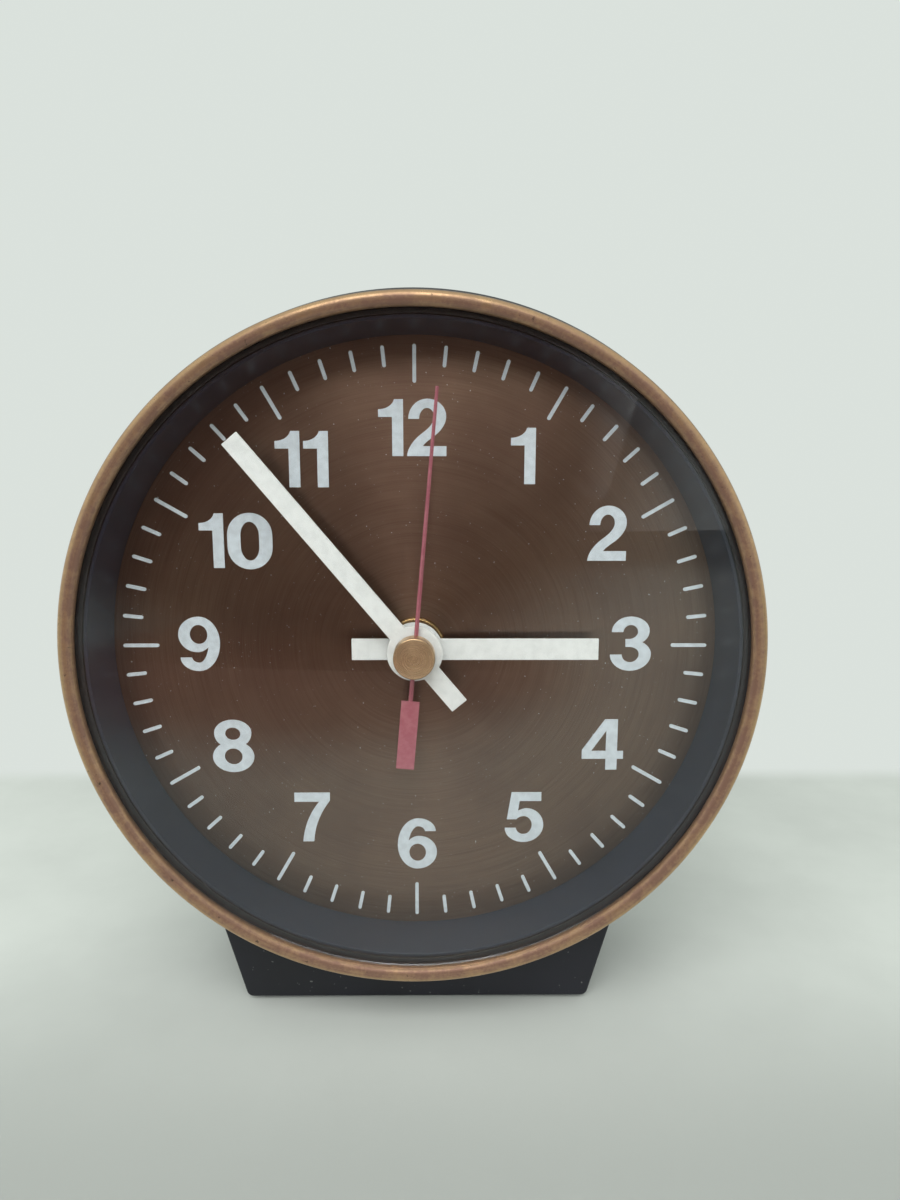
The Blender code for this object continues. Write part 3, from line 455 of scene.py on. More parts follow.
# ---------------------------------------------------------------- dial
# A disc of brown anodised metal, brushed in circles by turning it under an abrasive, then varnished.
# It is bored for the collar in its middle, and a few dust specks lie on it.

dial_low, dial_high = size("dial_plate")
dial_r = dial_high.x


def round_the_dial(where):
    """How far a point lies from the dial's centre, in metres."""
    across, _, height = where.split()
    up = height - HUB_Z * MM
    return (across * across + up * up) ** 0.5


def circled(where, radial, along):
    """Noise drawn out along circles about the dial's centre."""
    reach = round_the_dial(where)
    across, _, up = where.split()
    flow = where.node("ShaderNodeCombineXYZ", {}, {0: across * along, 1: up * along, 2: reach * radial})
    return flow.noise(1.0, 3, 0.6)


def lathe_grain(material, shader):
    """Let the shader's highlights run as they do over marks that are circles about y."""
    tangent = material.node_tree.nodes.new("ShaderNodeTangent")
    tangent.direction_type, tangent.axis = "RADIAL", "Y"
    material.node_tree.links.new(tangent.outputs[0], shader.inputs["Tangent"])
    feed(shader, Anisotropic=0.88, Anisotropic_Rotation=0.25)


def brushed_dial():
    """Brown metal with hairlines in circles, wider bands, faint stains and dust, under a varnish."""
    material, shader, where = new_finish("brushed_brown", metallic=1.0)
    hairline = circled(where, 9000, 90)
    band = circled(where, 3000, 40)
    dust = where.noise(3000, 1).span(0.77, 0.80)
    cloud = where.noise(60, 3)
    brown = band.span(0.35, 0.65).between((0.205, 0.124, 0.088), (0.238, 0.145, 0.102))
    grained = hairline.span(0.25, 0.75).between(brown, (0.270, 0.178, 0.126))
    stained = (cloud.span(0.35, 0.7) * 0.4).between(grained, (0.140, 0.075, 0.058))
    feed(shader, Base_Color=dust.between(stained, (0.60, 0.58, 0.55)),
         Metallic=dust.span(0.0, 1.0, 1.0, 0.2), Roughness=hairline.span(0.2, 0.8, 0.28, 0.40),
         Normal=(hairline * 0.4 + band).bump(0.000008), Coat_Weight=0.6, Coat_Roughness=0.04)
    lathe_grain(material, shader)
    return material


dial_bore = 3.65
disc = softened([(dial_bore, dial_low.y), (dial_r, dial_low.y, 0.08), (dial_r, dial_high.y),
                 (dial_bore, dial_high.y)], closed=True)
fit("dial_disc", turned(disc, closed=True, sides=256), brushed_dial(), "case", ["dial_plate"])

# ---------------------------------------------------------------- minute track
# Sixty round-ended marks in a circle, each fifth one longer, printed on the dial in a thick pale
# grey ink that stands a fifth of a millimetre proud.


def printed_ink(name, shade):
    """Thick screen-printed ink: nearly matte, a little uneven."""
    material, shader, where = new_finish(name)
    mottle = where.noise(900, 3)
    feed(shader, Base_Color=mottle.span(0.3, 0.7).between(shade, shaded(shade, 0.88)),
         Roughness=mottle.span(0.3, 0.7, 0.5, 0.62), Normal=mottle.bump(0.000008))
    return material


ink = printed_ink("grey_ink", (0.62, 0.68, 0.72))
ink_height = 0.2


def minute_track():
    """The tree that sets the marks, and the identifiers of its inputs by their names."""
    tree = bpy.data.node_groups.new("minute_track", "GeometryNodeTree")
    sockets = {}
    for name in ("Outer radius", "Width", "Minute length", "Hour length", "Height", "Ink"):
        kind = "NodeSocketMaterial" if name == "Ink" else "NodeSocketFloat"
        sockets[name] = tree.interface.new_socket(name, in_out="INPUT", socket_type=kind).identifier
    tree.interface.new_socket("Geometry", in_out="OUTPUT", socket_type="NodeSocketGeometry")
    given = tree.nodes.new("NodeGroupInput")
    outer, width, minute, hour, height, colour = (Wire(given.outputs[i]) for i in range(len(sockets)))

    def joined(last, first):
        """Two shapes in one. Joined instances are numbered from the last one that was linked."""
        both = last.node("GeometryNodeJoinGeometry", {}, {0: last})
        tree.links.new(first.socket, both.socket.node.inputs[0])
        return both

    bars = []
    for length in (minute, hour):
        outline = length.node("GeometryNodeCurvePrimitiveQuadrilateral", {},
                              {"Width": width, "Height": length})
        rounding = {"Curve": outline, "Radius": width * 0.499, "Limit Radius": True, "Count": 6}
        round_end = outline.node("GeometryNodeFilletCurve", {"mode": "POLY"}, rounding)
        face = round_end.node("GeometryNodeFillCurve", {"mode": "NGONS"}, {0: round_end})
        rise = face.node("ShaderNodeCombineXYZ", {}, {2: height})
        top = face.node("GeometryNodeExtrudeMesh", {"mode": "FACES"},
                        {"Mesh": face, "Offset": rise, "Offset Scale": 1.0, "Individual": False})
        underside = face.node("GeometryNodeFlipFaces", {}, {0: face})
        solid = joined(top, underside)
        solid = solid.node("GeometryNodeMergeByDistance", {}, {"Geometry": solid, "Distance": 1e-6})
        out = solid.node("ShaderNodeCombineXYZ", {}, {1: outer - length * 0.5})
        moved = solid.node("GeometryNodeTransform", {}, {"Geometry": solid, "Translation": out})
        bars.append(moved.node("GeometryNodeGeometryToInstance", {}, {0: moved}))
    pair = joined(bars[1], bars[0])
    dots = pair.node("GeometryNodePoints", {}, {"Count": 60})
    index = pair.node("GeometryNodeInputIndex", {}, {})
    turn = pair.node("ShaderNodeCombineXYZ", {}, {2: index * (TAU / 60)})
    fifth = index.math("MODULO", 5.0).math("COMPARE", 0.0, 0.1)
    marks = pair.node("GeometryNodeInstanceOnPoints", {},
                      {"Points": dots, "Instance": pair, "Pick Instance": True,
                       "Instance Index": fifth, "Rotation": turn})
    whole = marks.node("GeometryNodeRealizeInstances", {}, {0: marks})
    done = whole.node("GeometryNodeSetMaterial", {}, {"Geometry": whole, "Material": colour})
    result = tree.nodes.new("NodeGroupOutput")
    tree.links.new(done.socket, result.inputs[0])
    return tree, sockets


track_tree, track_sockets = minute_track()
track = bpy.data.objects.new("minute_track", bpy.data.meshes.new("minute_track"))
bpy.context.collection.objects.link(track)
maker = track.modifiers.new("track", "NODES")
maker.node_group = track_tree
for key, value in {"Outer radius": 48.2 * MM, "Width": 0.58 * MM, "Minute length": 3.3 * MM,
                   "Hour length": 5.9 * MM, "Height": ink_height * MM, "Ink": ink}.items():
    maker[track_sockets[key]] = value
marks = settled(track)
track.modifiers.clear()
track.data = marks
marks.materials.clear()
marks.materials.append(ink)
for vertex in marks.vertices:
    x, y, z = vertex.co
    vertex.co = (x, dial_y * MM - z, y + HUB_Z * MM)
hang(track, "case")

# ---------------------------------------------------------------- numbers
# The hours from one to twelve stand upright inside the marks, printed in the same ink with heavy
# plain figures.

# Each figure's outlines are paths on a grid. A step of two numbers is a straight line, and one of four
# is a curve that leaves and arrives in the two directions given, in degrees.
SIX = [[(67, 74.5), (36, 100, 92, 180), (0, 46, 180, 270), (34.5, -2.5, 270, 0), (69, 31.5, 0, 90),
        (38, 64, 90, 180), (19.3, 54.5, 180, 232), (36, 84.5, 82, 0), (48, 74.5, 0, 275)],
       [(35, 48.8), (20.3, 31, 180, 270), (35, 12.8, 270, 0), (49.7, 31, 0, 90), (35, 48.8, 90, 180)]]
DIGITS = {
    "0": [[(34.6, 100), (69.3, 60, 0, 270), (69.3, 37.5), (34.6, -2.5, 270, 180), (0, 37.5, 180, 90),
           (0, 60), (34.6, 100, 90, 0)],
          [(34.6, 84.0), (20.3, 59, 180, 270), (20.3, 38.5), (34.6, 13.5, 270, 0), (49, 38.5, 0, 90),
           (49, 59), (34.6, 84.0, 90, 180)]],
    "1": [[(22.8, 0), (22.8, 68.2), (0, 68.2), (0, 81.5), (26.3, 99, 0, 80), (41.2, 99), (41.2, 0)]],
    "2": [[(0, 0), (28, 41.5, 86, 36), (46.8, 68.5, 36, 90), (34.6, 84, 90, 180), (21, 65, 180, 270),
           (2.4, 65), (35.4, 100, 90, 0), (67.6, 69.3, 0, 270), (45.5, 34, 270, 216), (27.5, 17.6, 216, 248),
           (68.0, 17.6), (68.0, 0)]],
    "3": [[(0, 28), (19.8, 28), (34, 13.5, 272, 0), (48.8, 29, 0, 90), (32, 43, 90, 180), (25.5, 43),
           (25.5, 57.5), (31, 57.5), (46.2, 71, 0, 90), (33.5, 84.5, 90, 180), (21.2, 71, 180, 268), (2, 71),
           (33.5, 100, 90, 0), (65.4, 73.5, 0, 270), (53, 51.8, 270, 205), (69, 29, 335, 270),
           (34, -2.5, 270, 180), (0, 28, 180, 90)]],
    "4": [[(40.6, 0), (40.6, 21.5), (0, 21.5), (0, 38.8), (38, 99), (59.8, 99), (59.8, 36.8), (70.3, 36.8),
           (70.3, 21.5), (59.8, 21.5), (59.8, 0)],
          [(15.5, 36.8), (40.6, 36.8), (40.6, 77)]],
    "5": [[(64.5, 98.3), (64.5, 81), (26.0, 81), (23.4, 60.8), (38.5, 65.8, 28, 0), (69, 32.5, 0, 270),
           (33.5, -2.5, 270, 180), (0, 26, 180, 90), (19.8, 26), (33.5, 13.2, 275, 0), (48.4, 32, 0, 90),
           (33.5, 50.5, 90, 180), (20.6, 44, 180, 236), (3.5, 44), (11.5, 98.3)]],
    "6": SIX,
    "7": [[(0, 98.3), (68, 98.3), (68, 82.5), (36, 0, 232, 267), (14.8, 0), (47.5, 80.5, 85, 50),
           (0, 80.5)]],
    "8": [[(34.6, 100), (65.6, 74.8, 0, 270), (55, 52.3, 270, 212), (69.3, 27.8, 328, 270),
           (34.6, -2.5, 270, 180), (0, 27.8, 180, 90), (14.2, 52.3, 90, 32), (3.6, 74.8, 148, 90),
           (34.6, 100, 90, 0)],
          [(34.6, 85.3), (21.8, 73, 180, 270), (34.6, 60.5, 270, 0), (47.4, 73, 0, 90),
           (34.6, 85.3, 90, 180)],
          [(34.6, 44.2), (19.6, 28.5, 180, 270), (34.6, 12.3, 270, 0), (49.6, 28.5, 0, 90),
           (34.6, 44.2, 90, 180)]],
    "9": [[(69 - x, 97.5 - y, *turns) if not turns else (69 - x, 97.5 - y, turns[0] + 180, turns[1] + 180)
           for x, y, *turns in path] for path in SIX],
}
STRETCH = {"0": 1.17, "1": 1.07, "2": 1.03, "3": 1.10, "4": 1.11,
           "5": 1.07, "6": 1.09, "7": 0.99, "8": 1.12, "9": 1.10}
GRID = 99  # units to the height of a figure


def drawn(path, steps=9):
    """The points of one outline, its curves included."""
    points = []
    last = Vector(path[-1][:2])
    for x, y, *turns in path:
        here = Vector((x, y))
        if turns:
            out, home = (Vector((math.cos(math.radians(a)), math.sin(math.radians(a)))) for a in turns)
            bend = abs(math.radians((turns[1] - turns[0] + 180) % 360 - 180))
            share = 4 / 3 * math.tan(bend / 4) / math.tan(bend / 2)
            gap, area = here - last, out.cross(home)
            first = last + out * (gap.cross(home) / area) * share
            second = here - home * (out.cross(gap) / area) * share
            for k in range(1, steps):
                t, rest = k / steps, 1 - k / steps
                points.append(last * rest ** 3 + first * 3 * t * rest ** 2 + second * 3 * t * t * rest
                              + here * t ** 3)
        points.append(here)
        last = here
    return points


def number(text, at, height=8.87, gap=6.5):
    """Printed figures, centred on a place of the dial. Their gap is in units of the grid."""
    unit = height / GRID
    shape = bpy.data.curves.new(f"number_{text}", "CURVE")
    shape.dimensions, shape.fill_mode = "2D", "BOTH"
    start = 0.0
    for digit in text:
        width = max(x for x, *_ in DIGITS[digit][0]) * STRETCH[digit]
        for path in DIGITS[digit]:
            points = drawn(path)
            spline = shape.splines.new("POLY")
            spline.points.add(len(points) - 1)
            for point, (x, y) in zip(spline.points, points):
                point.co = (start + x * STRETCH[digit], y, 0, 1)
            spline.use_cyclic_u = True
        start += width + gap
    wide = start - gap
    shape.extrude = ink_height / 2 / unit
    holder = bpy.data.objects.new("shape", shape)
    bpy.context.collection.objects.link(holder)
    mesh = settled(holder)
    bpy.data.objects.remove(holder)
    for vertex in mesh.vertices:
        x, y, z = vertex.co
        vertex.co = ((at[0] + (x - wide / 2) * unit) * MM, (dial_y - ink_height / 2 - z * unit) * MM,
                     (at[1] + (y - GRID / 2) * unit + HUB_Z) * MM)
    mesh.materials.clear()
    mesh.materials.append(ink)
    piece = bpy.data.objects.new(f"number_{text}", mesh)
    bpy.context.collection.objects.link(piece)
    hang(piece, "case")


number_circle = 35.5
# The numbers sit a little off their circle, each to look right beside its marks
nudges = {1: (-0.45, 0.2), 2: (0.4, 0.8), 3: (0.15, 0.3), 4: (0.8, 0.5), 5: (0.7, 0.6), 6: (0.1, 0.5),
          7: (-0.05, 0.6), 8: (-0.1, 0.4), 9: (-0.2, 0.3), 10: (1.75, -0.4), 11: (-0.25, -0.35),
          12: (-0.35, -0.15)}
for hour, (sideways, upwards) in nudges.items():
    angle = TAU * hour / 12
    across, up = number_circle * math.sin(angle), number_circle * math.cos(angle)
    number(str(hour), (across + sideways, up + upwards))

# ---------------------------------------------------------------- hub collar
# A turned brass collar lines the hole in the dial. The hands' pipes come up through it, and its flange
# rests on the dial.

eyelet_low, eyelet_high = size("dial_eyelet")
eyelet_r = eyelet_high.x


def turned_brass(name, shade, roughness, axis=(0.0, 0.0), metallic=1.0):
    """Brass faced on a lathe: fine rings about its own axis."""
    material, shader, where = new_finish(name, metallic)
    shift = {"Vector": where, "Location": (-axis[0] * MM, 0, -axis[1] * MM)}
    rings = circled(where.node("ShaderNodeMapping", {}, shift), 9000, 30)
    soft = where.noise(300, 3)
    tone = rings.span(0.35, 0.65).between(shade, shaded(shade, 0.5))
    feed(shader, Base_Color=(soft * 0.25).between(tone, shaded(shade, 0.6)),
         Roughness=rings.span(0.2, 0.8, roughness, roughness + 0.12), Normal=rings.bump(0.000009))
    lathe_grain(material, shader)
    return material


collar_bore, neck_r, flange_y = 3.05, 3.5, dial_y - 0.1
collar = softened([(collar_bore, eyelet_low.y), (eyelet_r, eyelet_low.y, 0.35), (eyelet_r, flange_y),
                   (neck_r, flange_y), (neck_r, eyelet_high.y), (collar_bore, eyelet_high.y)], closed=True)
fit("dial_collar", turned(collar, closed=True, sides=96),
    turned_brass("collar_brass", (0.66, 0.44, 0.20), 0.18), "case", ["dial_eyelet"])

# ---------------------------------------------------------------- surround
# A smooth black ring between the dial and the glass, leaning outwards, hides the drum's wall. It is
# moulded, and drops into the spigot before the glass.

ring_low, ring_high = size("dial_surround")


def gloss_black():
    """Smooth, slightly blue black plastic, just short of a polish."""
    material, shader, where = new_finish("surround_black")
    smear = where.noise(45, 2, 0.4)
    fine = where.noise(2600, 2)
    feed(shader, Base_Color=smear.span(0.2, 0.8).between((0.0085, 0.0112, 0.0215), (0.0115, 0.015, 0.027)),
         Roughness=smear.span(0.2, 0.8, 0.30, 0.36), Normal=fine.bump(0.000003))
    return material


RIM_SIDES = 384  # the large rings that are seen closest
ring_foot, ring_top, ring_back = 49.6, 51.2, 51.7
slope = softened([(ring_foot, ring_high.y), (ring_top, ring_low.y, 0.1), (ring_back, ring_low.y),
                  (ring_back, ring_high.y)], closed=True)
fit("dial_ring", turned(slope, closed=True, sides=RIM_SIDES), gloss_black(),
    "case", ["dial_surround"])

# ---------------------------------------------------------------- gasket
# A soft ring of black rubber lies on the spigot's rim. The glass is pressed down on it, and it keeps
# the dust out.

gasket_low, gasket_high = size("crystal_gasket")
band = [(spigot_bore, gasket_low.y), (gasket_high.x, gasket_low.y), (gasket_high.x, gasket_high.y),
        (spigot_bore, gasket_high.y)]
fit("glass_gasket", turned(band, closed=True, sides=RIM_SIDES), rubber("gasket_rubber"),
    "case", ["crystal_gasket"])

# ---------------------------------------------------------------- hour and minute hands
# Bars with round hubs and short tails, stamped from sheet metal and painted white. Each is pressed on
# its own pipe, the minute hand in front.


def painted(name, shade, worn):
    """Baked paint: smooth and soft, with faint specks."""
    material, shader, where = new_finish(name)
    mottle = where.noise(700, 4, 0.6)
    peel = where.noise(1800, 2)
    feed(shader, Base_Color=mottle.span(0.35, 0.75).between(shade, worn),
         Roughness=mottle.span(0.3, 0.7, 0.42, 0.55), Normal=peel.bump(0.00001))
    return material


def bar_hand(hub, half_width, front, back, bore, turn, face_y, thickness):
    """A round hub with a bar through it, bored for its pipe and turned clockwise from twelve."""
    ring = []
    side = math.degrees(math.asin(half_width / hub))
    for reach, middle in ((front, 90), (back, 270)):
        tip = math.degrees(math.atan2(half_width, reach))
        far = math.hypot(half_width, reach)
        ring += [(middle - side, hub), (middle - tip, far), (middle + tip, far), (middle + side, hub)]
    for angle in range(0, 360, 4):
        away = min(abs(math.remainder(angle - middle, 360)) for middle in (90, 270))
        if away > side + 2:
            ring.append((angle, hub))
    ring = [(math.radians(angle - turn), reach) for angle, reach in sorted(ring)]
    build = bmesh.new()
    back_y = face_y + thickness
    levels = []
    for radius, depth in ((None, face_y), (bore, face_y), (bore, back_y), (None, back_y)):
        levels.append([build.verts.new(((radius or r) * math.cos(a), depth, (radius or r) * math.sin(a)))
                       for a, r in ring])
    for near, far in zip(levels, levels[1:] + levels[:1]):
        for i in range(len(ring)):
            j = (i + 1) % len(ring)
            build.faces.new((near[i], near[j], far[j], far[i]))
    bmesh.ops.recalc_face_normals(build, faces=build.faces)
    return build


hand_white = painted("hand_white", (0.80, 0.82, 0.80), (0.72, 0.74, 0.72))
hour_bar = bar_hand(hub=4.45, half_width=1.75, front=29.8, back=10.3, bore=2.4, turn=90,
                    face_y=size("hour_hand")[0].y, thickness=0.5)
fit("hour_bar", hour_bar, hand_white, "hour", ["hour_hand"], bevel=0.08)
minute_bar = bar_hand(hub=4.45, half_width=1.5, front=43.9, back=11.2, bore=1.8, turn=-39.8,
                      face_y=size("minute_hand")[0].y, thickness=0.5)
fit("minute_bar", minute_bar, hand_white, "minute", ["minute_hand"], bevel=0.08)

# ---------------------------------------------------------------- seconds hand and cap
# A needle with a crease along it and a flat counterweight, pressed from thin sheet and painted red.
# A small turned brass cap closes the middle.


def needle_hand():
    """The seconds hand, with a small round hub between the needle and the counterweight."""
    turn = math.radians(5)
    needle, hub, weight, reach, tail, neck = 0.34, 2.6, 1.45, 41.6, 18.9, 7.6
    crest = size("seconds_hand")[0].y
    front, back = crest + 0.22, crest + 0.3
    build = bmesh.new()

    def at(x, depth, z):
        return build.verts.new((x * math.cos(turn) + z * math.sin(turn), depth,
                                z * math.cos(turn) - x * math.sin(turn)))

    sections = []
    for z, half in ((reach, needle * 0.75), (0.0, needle), (-neck, needle)):
        sections.append([at(-half, back, z), at(-half, front, z), at(0, crest, z), at(half, front, z),
                         at(half, back, z)])
    for first, second in zip(sections, sections[1:]):
        for i in range(5):
            j = (i + 1) % 5
            build.faces.new((first[i], first[j], second[j], second[i]))
    build.faces.new(sections[0])
    build.faces.new(sections[-1][::-1])
    plate = ((-weight, -neck), (weight, -neck), (weight, -tail), (-weight, -tail))
    slab = [[at(x, depth, z) for x, z in plate] for depth in (crest, back)]
    round_hub = along_arc((0, 0), hub, 0, 352.5, 47)
    disc = [[at(x, depth, z) for x, z in round_hub] for depth in (crest + 0.02, back)]
    for near, far in (slab, disc):
        build.faces.new(near)
        build.faces.new(far[::-1])
        for i in range(len(near)):
            j = (i + 1) % len(near)
            build.faces.new((near[i], far[i], far[j], near[j]))
    bmesh.ops.recalc_face_normals(build, faces=build.faces)
    return build


fit("seconds_needle", needle_hand(), painted("dusty_red", (0.33, 0.090, 0.118), (0.40, 0.140, 0.165)),
    "seconds", ["seconds_hand"], sharp=20)
cap_low, cap_high = size("hand_cap")
cap = softened([(0.0, cap_low.y), (cap_high.x, cap_low.y, 0.22), (cap_high.x, cap_high.y),
                (0.0, cap_high.y)])
fit("seconds_cap", turned(cap, sides=96),
    turned_brass("cap_brass", (0.92, 0.64, 0.38), 0.20, metallic=0.85),
    "seconds", ["hand_cap"])

# ---------------------------------------------------------------- bezel
# A spun brass ring with a half-round front. It is pushed over the spigot, its lip holds the glass,
# and it has a brown patina, with bright gold-coloured metal along its edges.

lip_r, lip_y, crest_y, skirt_r = 52.6, dial_y - 9.9, bezel_low.y, 53.5


def aged_brass():
    """Patina in blotches over gold-coloured brass, thin at the ring's edges, with a dark outer rim.
    The spans of reach are radii of the ring in millimetres."""
    material, shader, where = new_finish("aged_brass", metallic=1.0)
    reach = round_the_dial(where) * (1 / MM)
    streak = circled(where, 5200, 140)
    blotch = where.noise(210, 6, 0.62)
    fine = where.noise(1500, 4, 0.6)
    spots = where.noise(820, 3, 0.7).span(0.66, 0.74)
    gold, patina, dark = (0.60, 0.39, 0.22), (0.245, 0.140, 0.100), (0.04, 0.028, 0.022)
    # Gold-coloured metal by radius: less patina on the outer half of the ring and along the inner lip.
    worn = reach.span(53.9, 54.5) + reach.span(52.95, 52.7) * 0.5 - reach.span(53.8, 53.1) * 0.25
    clouded = blotch.span(0.32, 0.62) * 0.45 + fine.span(0.3, 0.7) * 0.25 + streak.span(0.3, 0.7) * 0.15
    cover_up = clouded + 0.30 - worn * 0.62
    tone = cover_up.math("MAXIMUM", 0.0).math("MINIMUM", 1.0).between(gold, patina)
    tone = (reach.span(54.7, 54.97) * 0.7).between(tone, dark)
    feed(shader, Base_Color=(spots * 0.75).between(tone, dark),
         Roughness=blotch * 0.16 + fine * 0.12 + cover_up.math("MAXIMUM", 0.0) * 0.10 + 0.16,
         Normal=(fine + streak * 0.5).bump(0.00001), Metallic=cover_up.span(0.0, 1.0, 0.95, 0.62))
    return material


crest_r, half_wide = (lip_r + bezel_r) / 2, (bezel_r - lip_r) / 2
crest_steps = 24
profile = [(lip_r, lip_y + 0.4), (lip_r, lip_y + 0.05)]
for step in range(1, crest_steps):
    swing = math.pi * step / crest_steps
    profile.append((crest_r - half_wide * math.cos(swing), lip_y + (crest_y - lip_y) * math.sin(swing)))
profile += [(bezel_r, lip_y + 0.3), (bezel_r, bezel_high.y - 0.2), (bezel_r - 0.2, bezel_high.y),
            (skirt_r, bezel_high.y), (skirt_r, lip_y + 0.4)]
fit("bezel", turned(profile, closed=True, sides=RIM_SIDES), aged_brass(),
    "case", ["bezel_ring"])

# ---------------------------------------------------------------- crystal
# A shallow dome of mineral glass, dropped in behind the bezel's lip. The lamp's light goes through it
# unshaded.

glass_front = size("crystal")[0].y


def clear_glass():
    """Clear glass with a very faint green cast and fainter smudges."""
    material, shader, where = new_finish("clear_glass")
    smudge = where.noise(40, 2, 0.4)
    feed(shader, Roughness=smudge.span(0.3, 0.8, 0.0, 0.012), Transmission_Weight=1.0, IOR=1.48,
         Base_Color=smudge.between((0.99, 1.0, 0.995), (0.985, 0.995, 0.99)))
    return material


glass_r, glass_thick, glass_rings = 53.2, 1.3, 24
rim_y = dial_y - 9.3
rise = rim_y - glass_front
outside = [(glass_r * k / glass_rings, rim_y - rise * (1 - (k / glass_rings) ** 2))
           for k in range(glass_rings + 1)]
inside = [(radius, depth + glass_thick) for radius, depth in reversed(outside)]
crystal = fit("crystal_dome", turned(outside + inside, sides=RIM_SIDES), clear_glass(),
              "case", ["crystal"], sharp=50)
crystal.visible_shadow = False

# ---------------------------------------------------------------- winding keys
# Two butterfly keys, one for each spring: a turned brass hub with two wings that are stamped from
# sheet brass and soldered on.

hub_r, hub_top, half_wing = 3.2, 4.2, 0.8
for name in ("time", "alarm"):
    node = f"{name}_winding_key"
    at = axis_of(f"{name}_winding_arbor")
    low, high = size(node)
    brass = turned_brass(f"{name}_key_brass", (0.60, 0.40, 0.19), 0.24, at)
    hub = softened([(0.0, low.y), (hub_r, low.y, 0.15), (hub_r - 0.4, low.y + hub_top, 0.3),
                    (0.0, low.y + hub_top)])
    fit(f"{name}_key_hub", turned(hub, at, sides=64), brass, f"{name}_winding", [node])
    top = high.y - low.y
    half = [(1.2, 1.2), (3.0, 3.2), (6.2, 2.9), (7.5, 4.0), (7.6, 6.0), (6.4, top - 0.1), (4.6, top),
            (2.4, top - 1.1), (0.9, top - 2.3)]
    outline = [(at[0] + x, low.y + y) for x, y in half]
    outline += [(at[0] - x, low.y + y) for x, y in reversed(half)]
    wings = extruded(outline, at[1] - half_wing, at[1] + half_wing, upright=True)
    fit(f"{name}_key_wings", wings, brass, f"{name}_winding", bevel=0.3)

# ---------------------------------------------------------------- setting knobs
# Two moulded black knobs with fluted edges, pushed on their arbors. One sets the hands, and the other
# sets the alarm.

FLUTE_SIDES = 14  # sides of the mesh to a flute
for name, flutes in (("time", 22), ("alarm", 18)):
    low, high = size(f"{name}_set_knob")
    at = axis_of(f"{name}_set_arbor")
    radius = high.x - at[0]
    profile = [(0.0, low.y), (2.2, low.y), (2.2, low.y + 1.0), (radius - 0.2, low.y + 1.0),
               (radius, low.y + 1.3), (radius, high.y - 1.0), (radius - 0.3, high.y - 0.4),
               (radius - 0.9, high.y), (radius - 1.6, high.y), (radius - 2.0, high.y - 0.4),
               (0.0, high.y - 0.4)]
    grip = turned(profile, at, sides=flutes * FLUTE_SIDES, flutes=flutes, fluted=(3, 4, 5, 6))
    fit(f"{name}_set_grip", grip, moulded_black(f"{name}_set_grip_plastic", 0.38, 0.018),
        f"{name}_setting", [f"{name}_set_knob"])

# ---------------------------------------------------------------- stop button
# A red painted button with a dished face, on a thin stem that goes through the cover. Pushed in, it
# stops the gong.

low, high = size("alarm_stop_button")
stem_r, button_r, button_deep, dish = 1.0, 3.0, 2.8, 0.3
profile = softened([(0.0, low.y), (stem_r, low.y), (stem_r, high.y - button_deep),
                    (button_r, high.y - button_deep, 0.2), (button_r, high.y, 0.7),
                    (button_r - 1.2, high.y, 0.2), (button_r - 1.6, high.y - dish), (0.0, high.y - dish)])
fit("stop_button", turned(profile, middle_of("alarm_stop_button"), sides=64),
    painted("button_red", (0.42, 0.03, 0.04), (0.36, 0.03, 0.04)), "stop_button",
    ["alarm_stop_button"])

# ---------------------------------------------------------------- stage
# A pale table, darkened towards the front with painted shade, that meets a paler wall behind the clock,
# an even surround, soft lamps above on the left, and two dark sheets that show only in reflections,
# standing for the room in front.

wall_tone = (0.705, 0.755, 0.718)
wall_foot, wall_full = 0.086, 0.099


def stage_floor():
    """The table, darker towards the front with painted shade and paler towards the back, where it turns into the
    wall's own even light.
    """
    material, shader, where = new_finish("floor_with_painted_shade")
    mottle = where.noise(14, 5, 0.6)
    _, depth, _ = where.split()
    far = depth.span(wall_foot, wall_full)
    pale = mottle.span(0.3, 0.7).between((0.520, 0.541, 0.513), (0.590, 0.614, 0.582))
    # Painted shade: the table's colour darkens from near the clock towards the front.
    table = depth.span(0.005, -0.06).between(pale, (0.355, 0.369, 0.350))
    feed(shader, Base_Color=far.between(table, (0, 0, 0)), Emission_Color=far.between((0, 0, 0), wall_tone),
         Emission_Strength=1.0, Roughness=0.6, Specular_IOR_Level=0.0)
    return material


def sheet(name, corners, material):
    """One flat face of the stage."""
    mesh = bpy.data.meshes.new(name)
    mesh.from_pydata(corners, [], [range(len(corners))])
    mesh.materials.append(material)
    piece = bpy.data.objects.new(name, mesh)
    bpy.context.collection.objects.link(piece)
    return piece


far_edge = 3.0
square = ((-1, -1), (1, -1), (1, 1), (-1, 1))
sheet("floor", [(x * far_edge, y * far_edge, 0) for x, y in square], stage_floor())


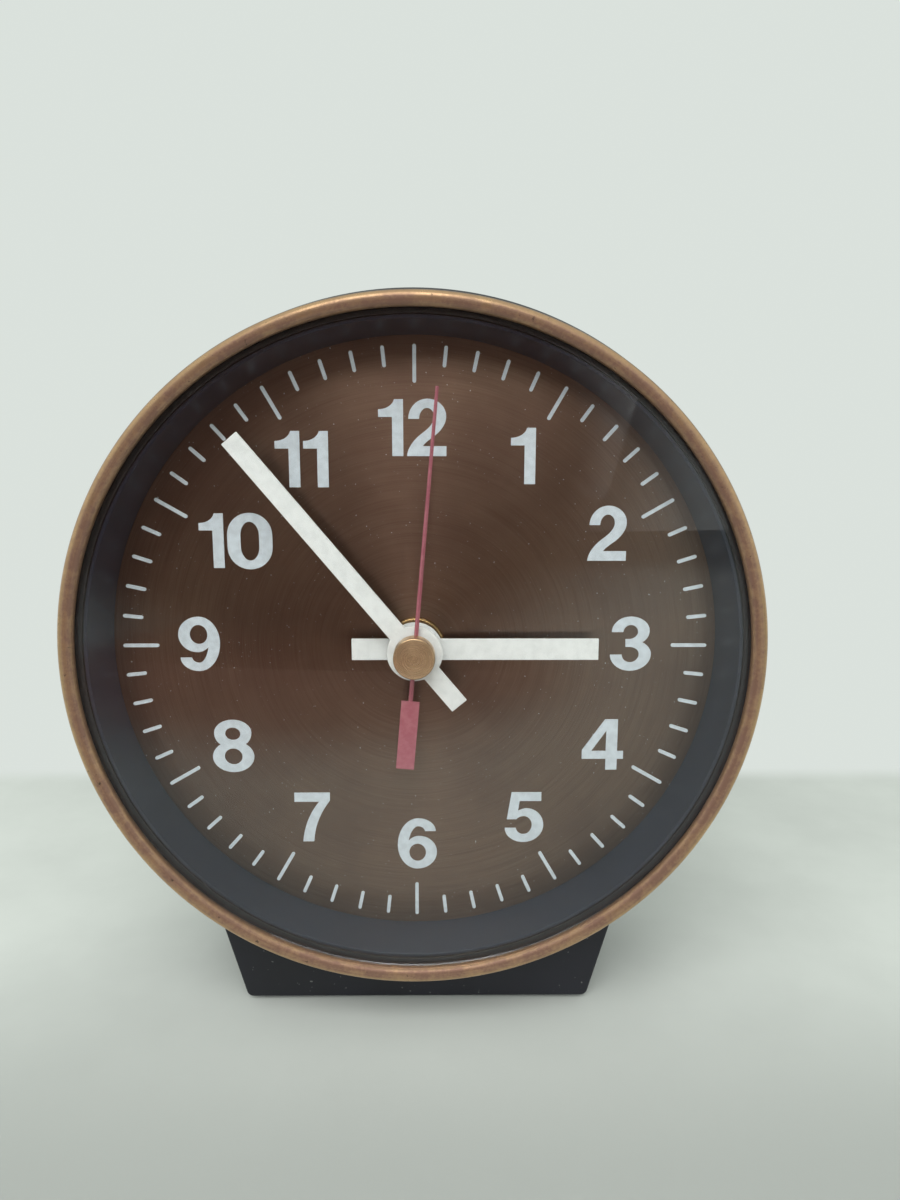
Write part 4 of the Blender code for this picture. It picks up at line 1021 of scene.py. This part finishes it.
def dark_sheet(name, corners, middle, across):
    """A dark oval with soft edges, seen only in reflections."""
    material, shader, where = new_finish(name)
    home = where.node("ShaderNodeVectorMath", {"operation": "SUBTRACT"}, {0: where, 1: middle})
    home = home.node("ShaderNodeVectorMath", {"operation": "MULTIPLY"}, {0: home, 1: across})
    edge = home.node("ShaderNodeVectorMath", {"operation": "LENGTH"}, {0: home}, "Value")
    feed(shader, Base_Color=where.noise(18, 3).between((0.13, 0.068, 0.052), (0.24, 0.132, 0.105)),
         Roughness=0.9, Alpha=edge.span(1.0, 0.6))
    piece = sheet(name, corners, material)
    piece.visible_camera = piece.visible_diffuse = piece.visible_shadow = False


card_y, card_low, card_high = -0.25, 0.001, 0.40
dark_sheet("card", [(-0.35, card_y, card_low), (0.25, card_y, card_low), (0.25, card_y, card_high),
                    (-0.35, card_y, card_high)], (-0.065, card_y, 0.125), (1 / 0.24, 0, 1 / 0.17))
shade_z = 0.0005
dark_sheet("shade", [(-0.30, -0.45, shade_z), (0.15, -0.45, shade_z), (0.15, -0.08, shade_z),
                     (-0.30, -0.08, shade_z)], (-0.07, -0.27, 0.0), (1 / 0.19, 1 / 0.17, 0))

world = bpy.data.worlds.new("room")
bpy.context.scene.world = world
world.use_nodes = True
world.node_tree.nodes["Background"].inputs["Color"].default_value = (*wall_tone, 1)


def soft_lamp(name, place, wide, power, tint):
    """A square lamp turned towards the clock."""
    lamp = bpy.data.lights.new(name, "AREA")
    lamp.energy, lamp.size, lamp.color = power, wide, tint
    holder = bpy.data.objects.new(name, lamp)
    bpy.context.collection.objects.link(holder)
    holder.location = place
    holder.rotation_euler = (Vector((0, 0, 0.06)) - Vector(place)).to_track_quat("-Z", "Y").to_euler()
    return holder


soft_lamp("key", (-0.07, -0.50, 0.62), 0.36, 1.15, (1.0, 0.99, 0.97))
fill = soft_lamp("fill", (-0.10, -0.58, 0.48), 0.9, 5.7, (0.98, 1.0, 1.0))
fill.visible_glossy = False

lens = bpy.data.cameras.new("camera")
lens.lens, lens.clip_start = 26.906, 0.01
camera = bpy.data.objects.new("camera", lens)
bpy.context.collection.objects.link(camera)
eye = Vector((4.294, dial_y - 145.43, HUB_Z + 33.97)) * MM
pan, tilt, roll, level = (math.radians(angle) for angle in (-0.543, -10.308, -0.096, 90))
camera.matrix_world = (
    Matrix.Translation(eye) @ Matrix.Rotation(pan, 4, "Z") @ Matrix.Rotation(tilt, 4, "X")
    @ Matrix.Rotation(roll, 4, "Y") @ Matrix.Rotation(level, 4, "X"))
bpy.context.scene.camera = camera
bpy.context.scene.view_settings.view_transform = "Standard"
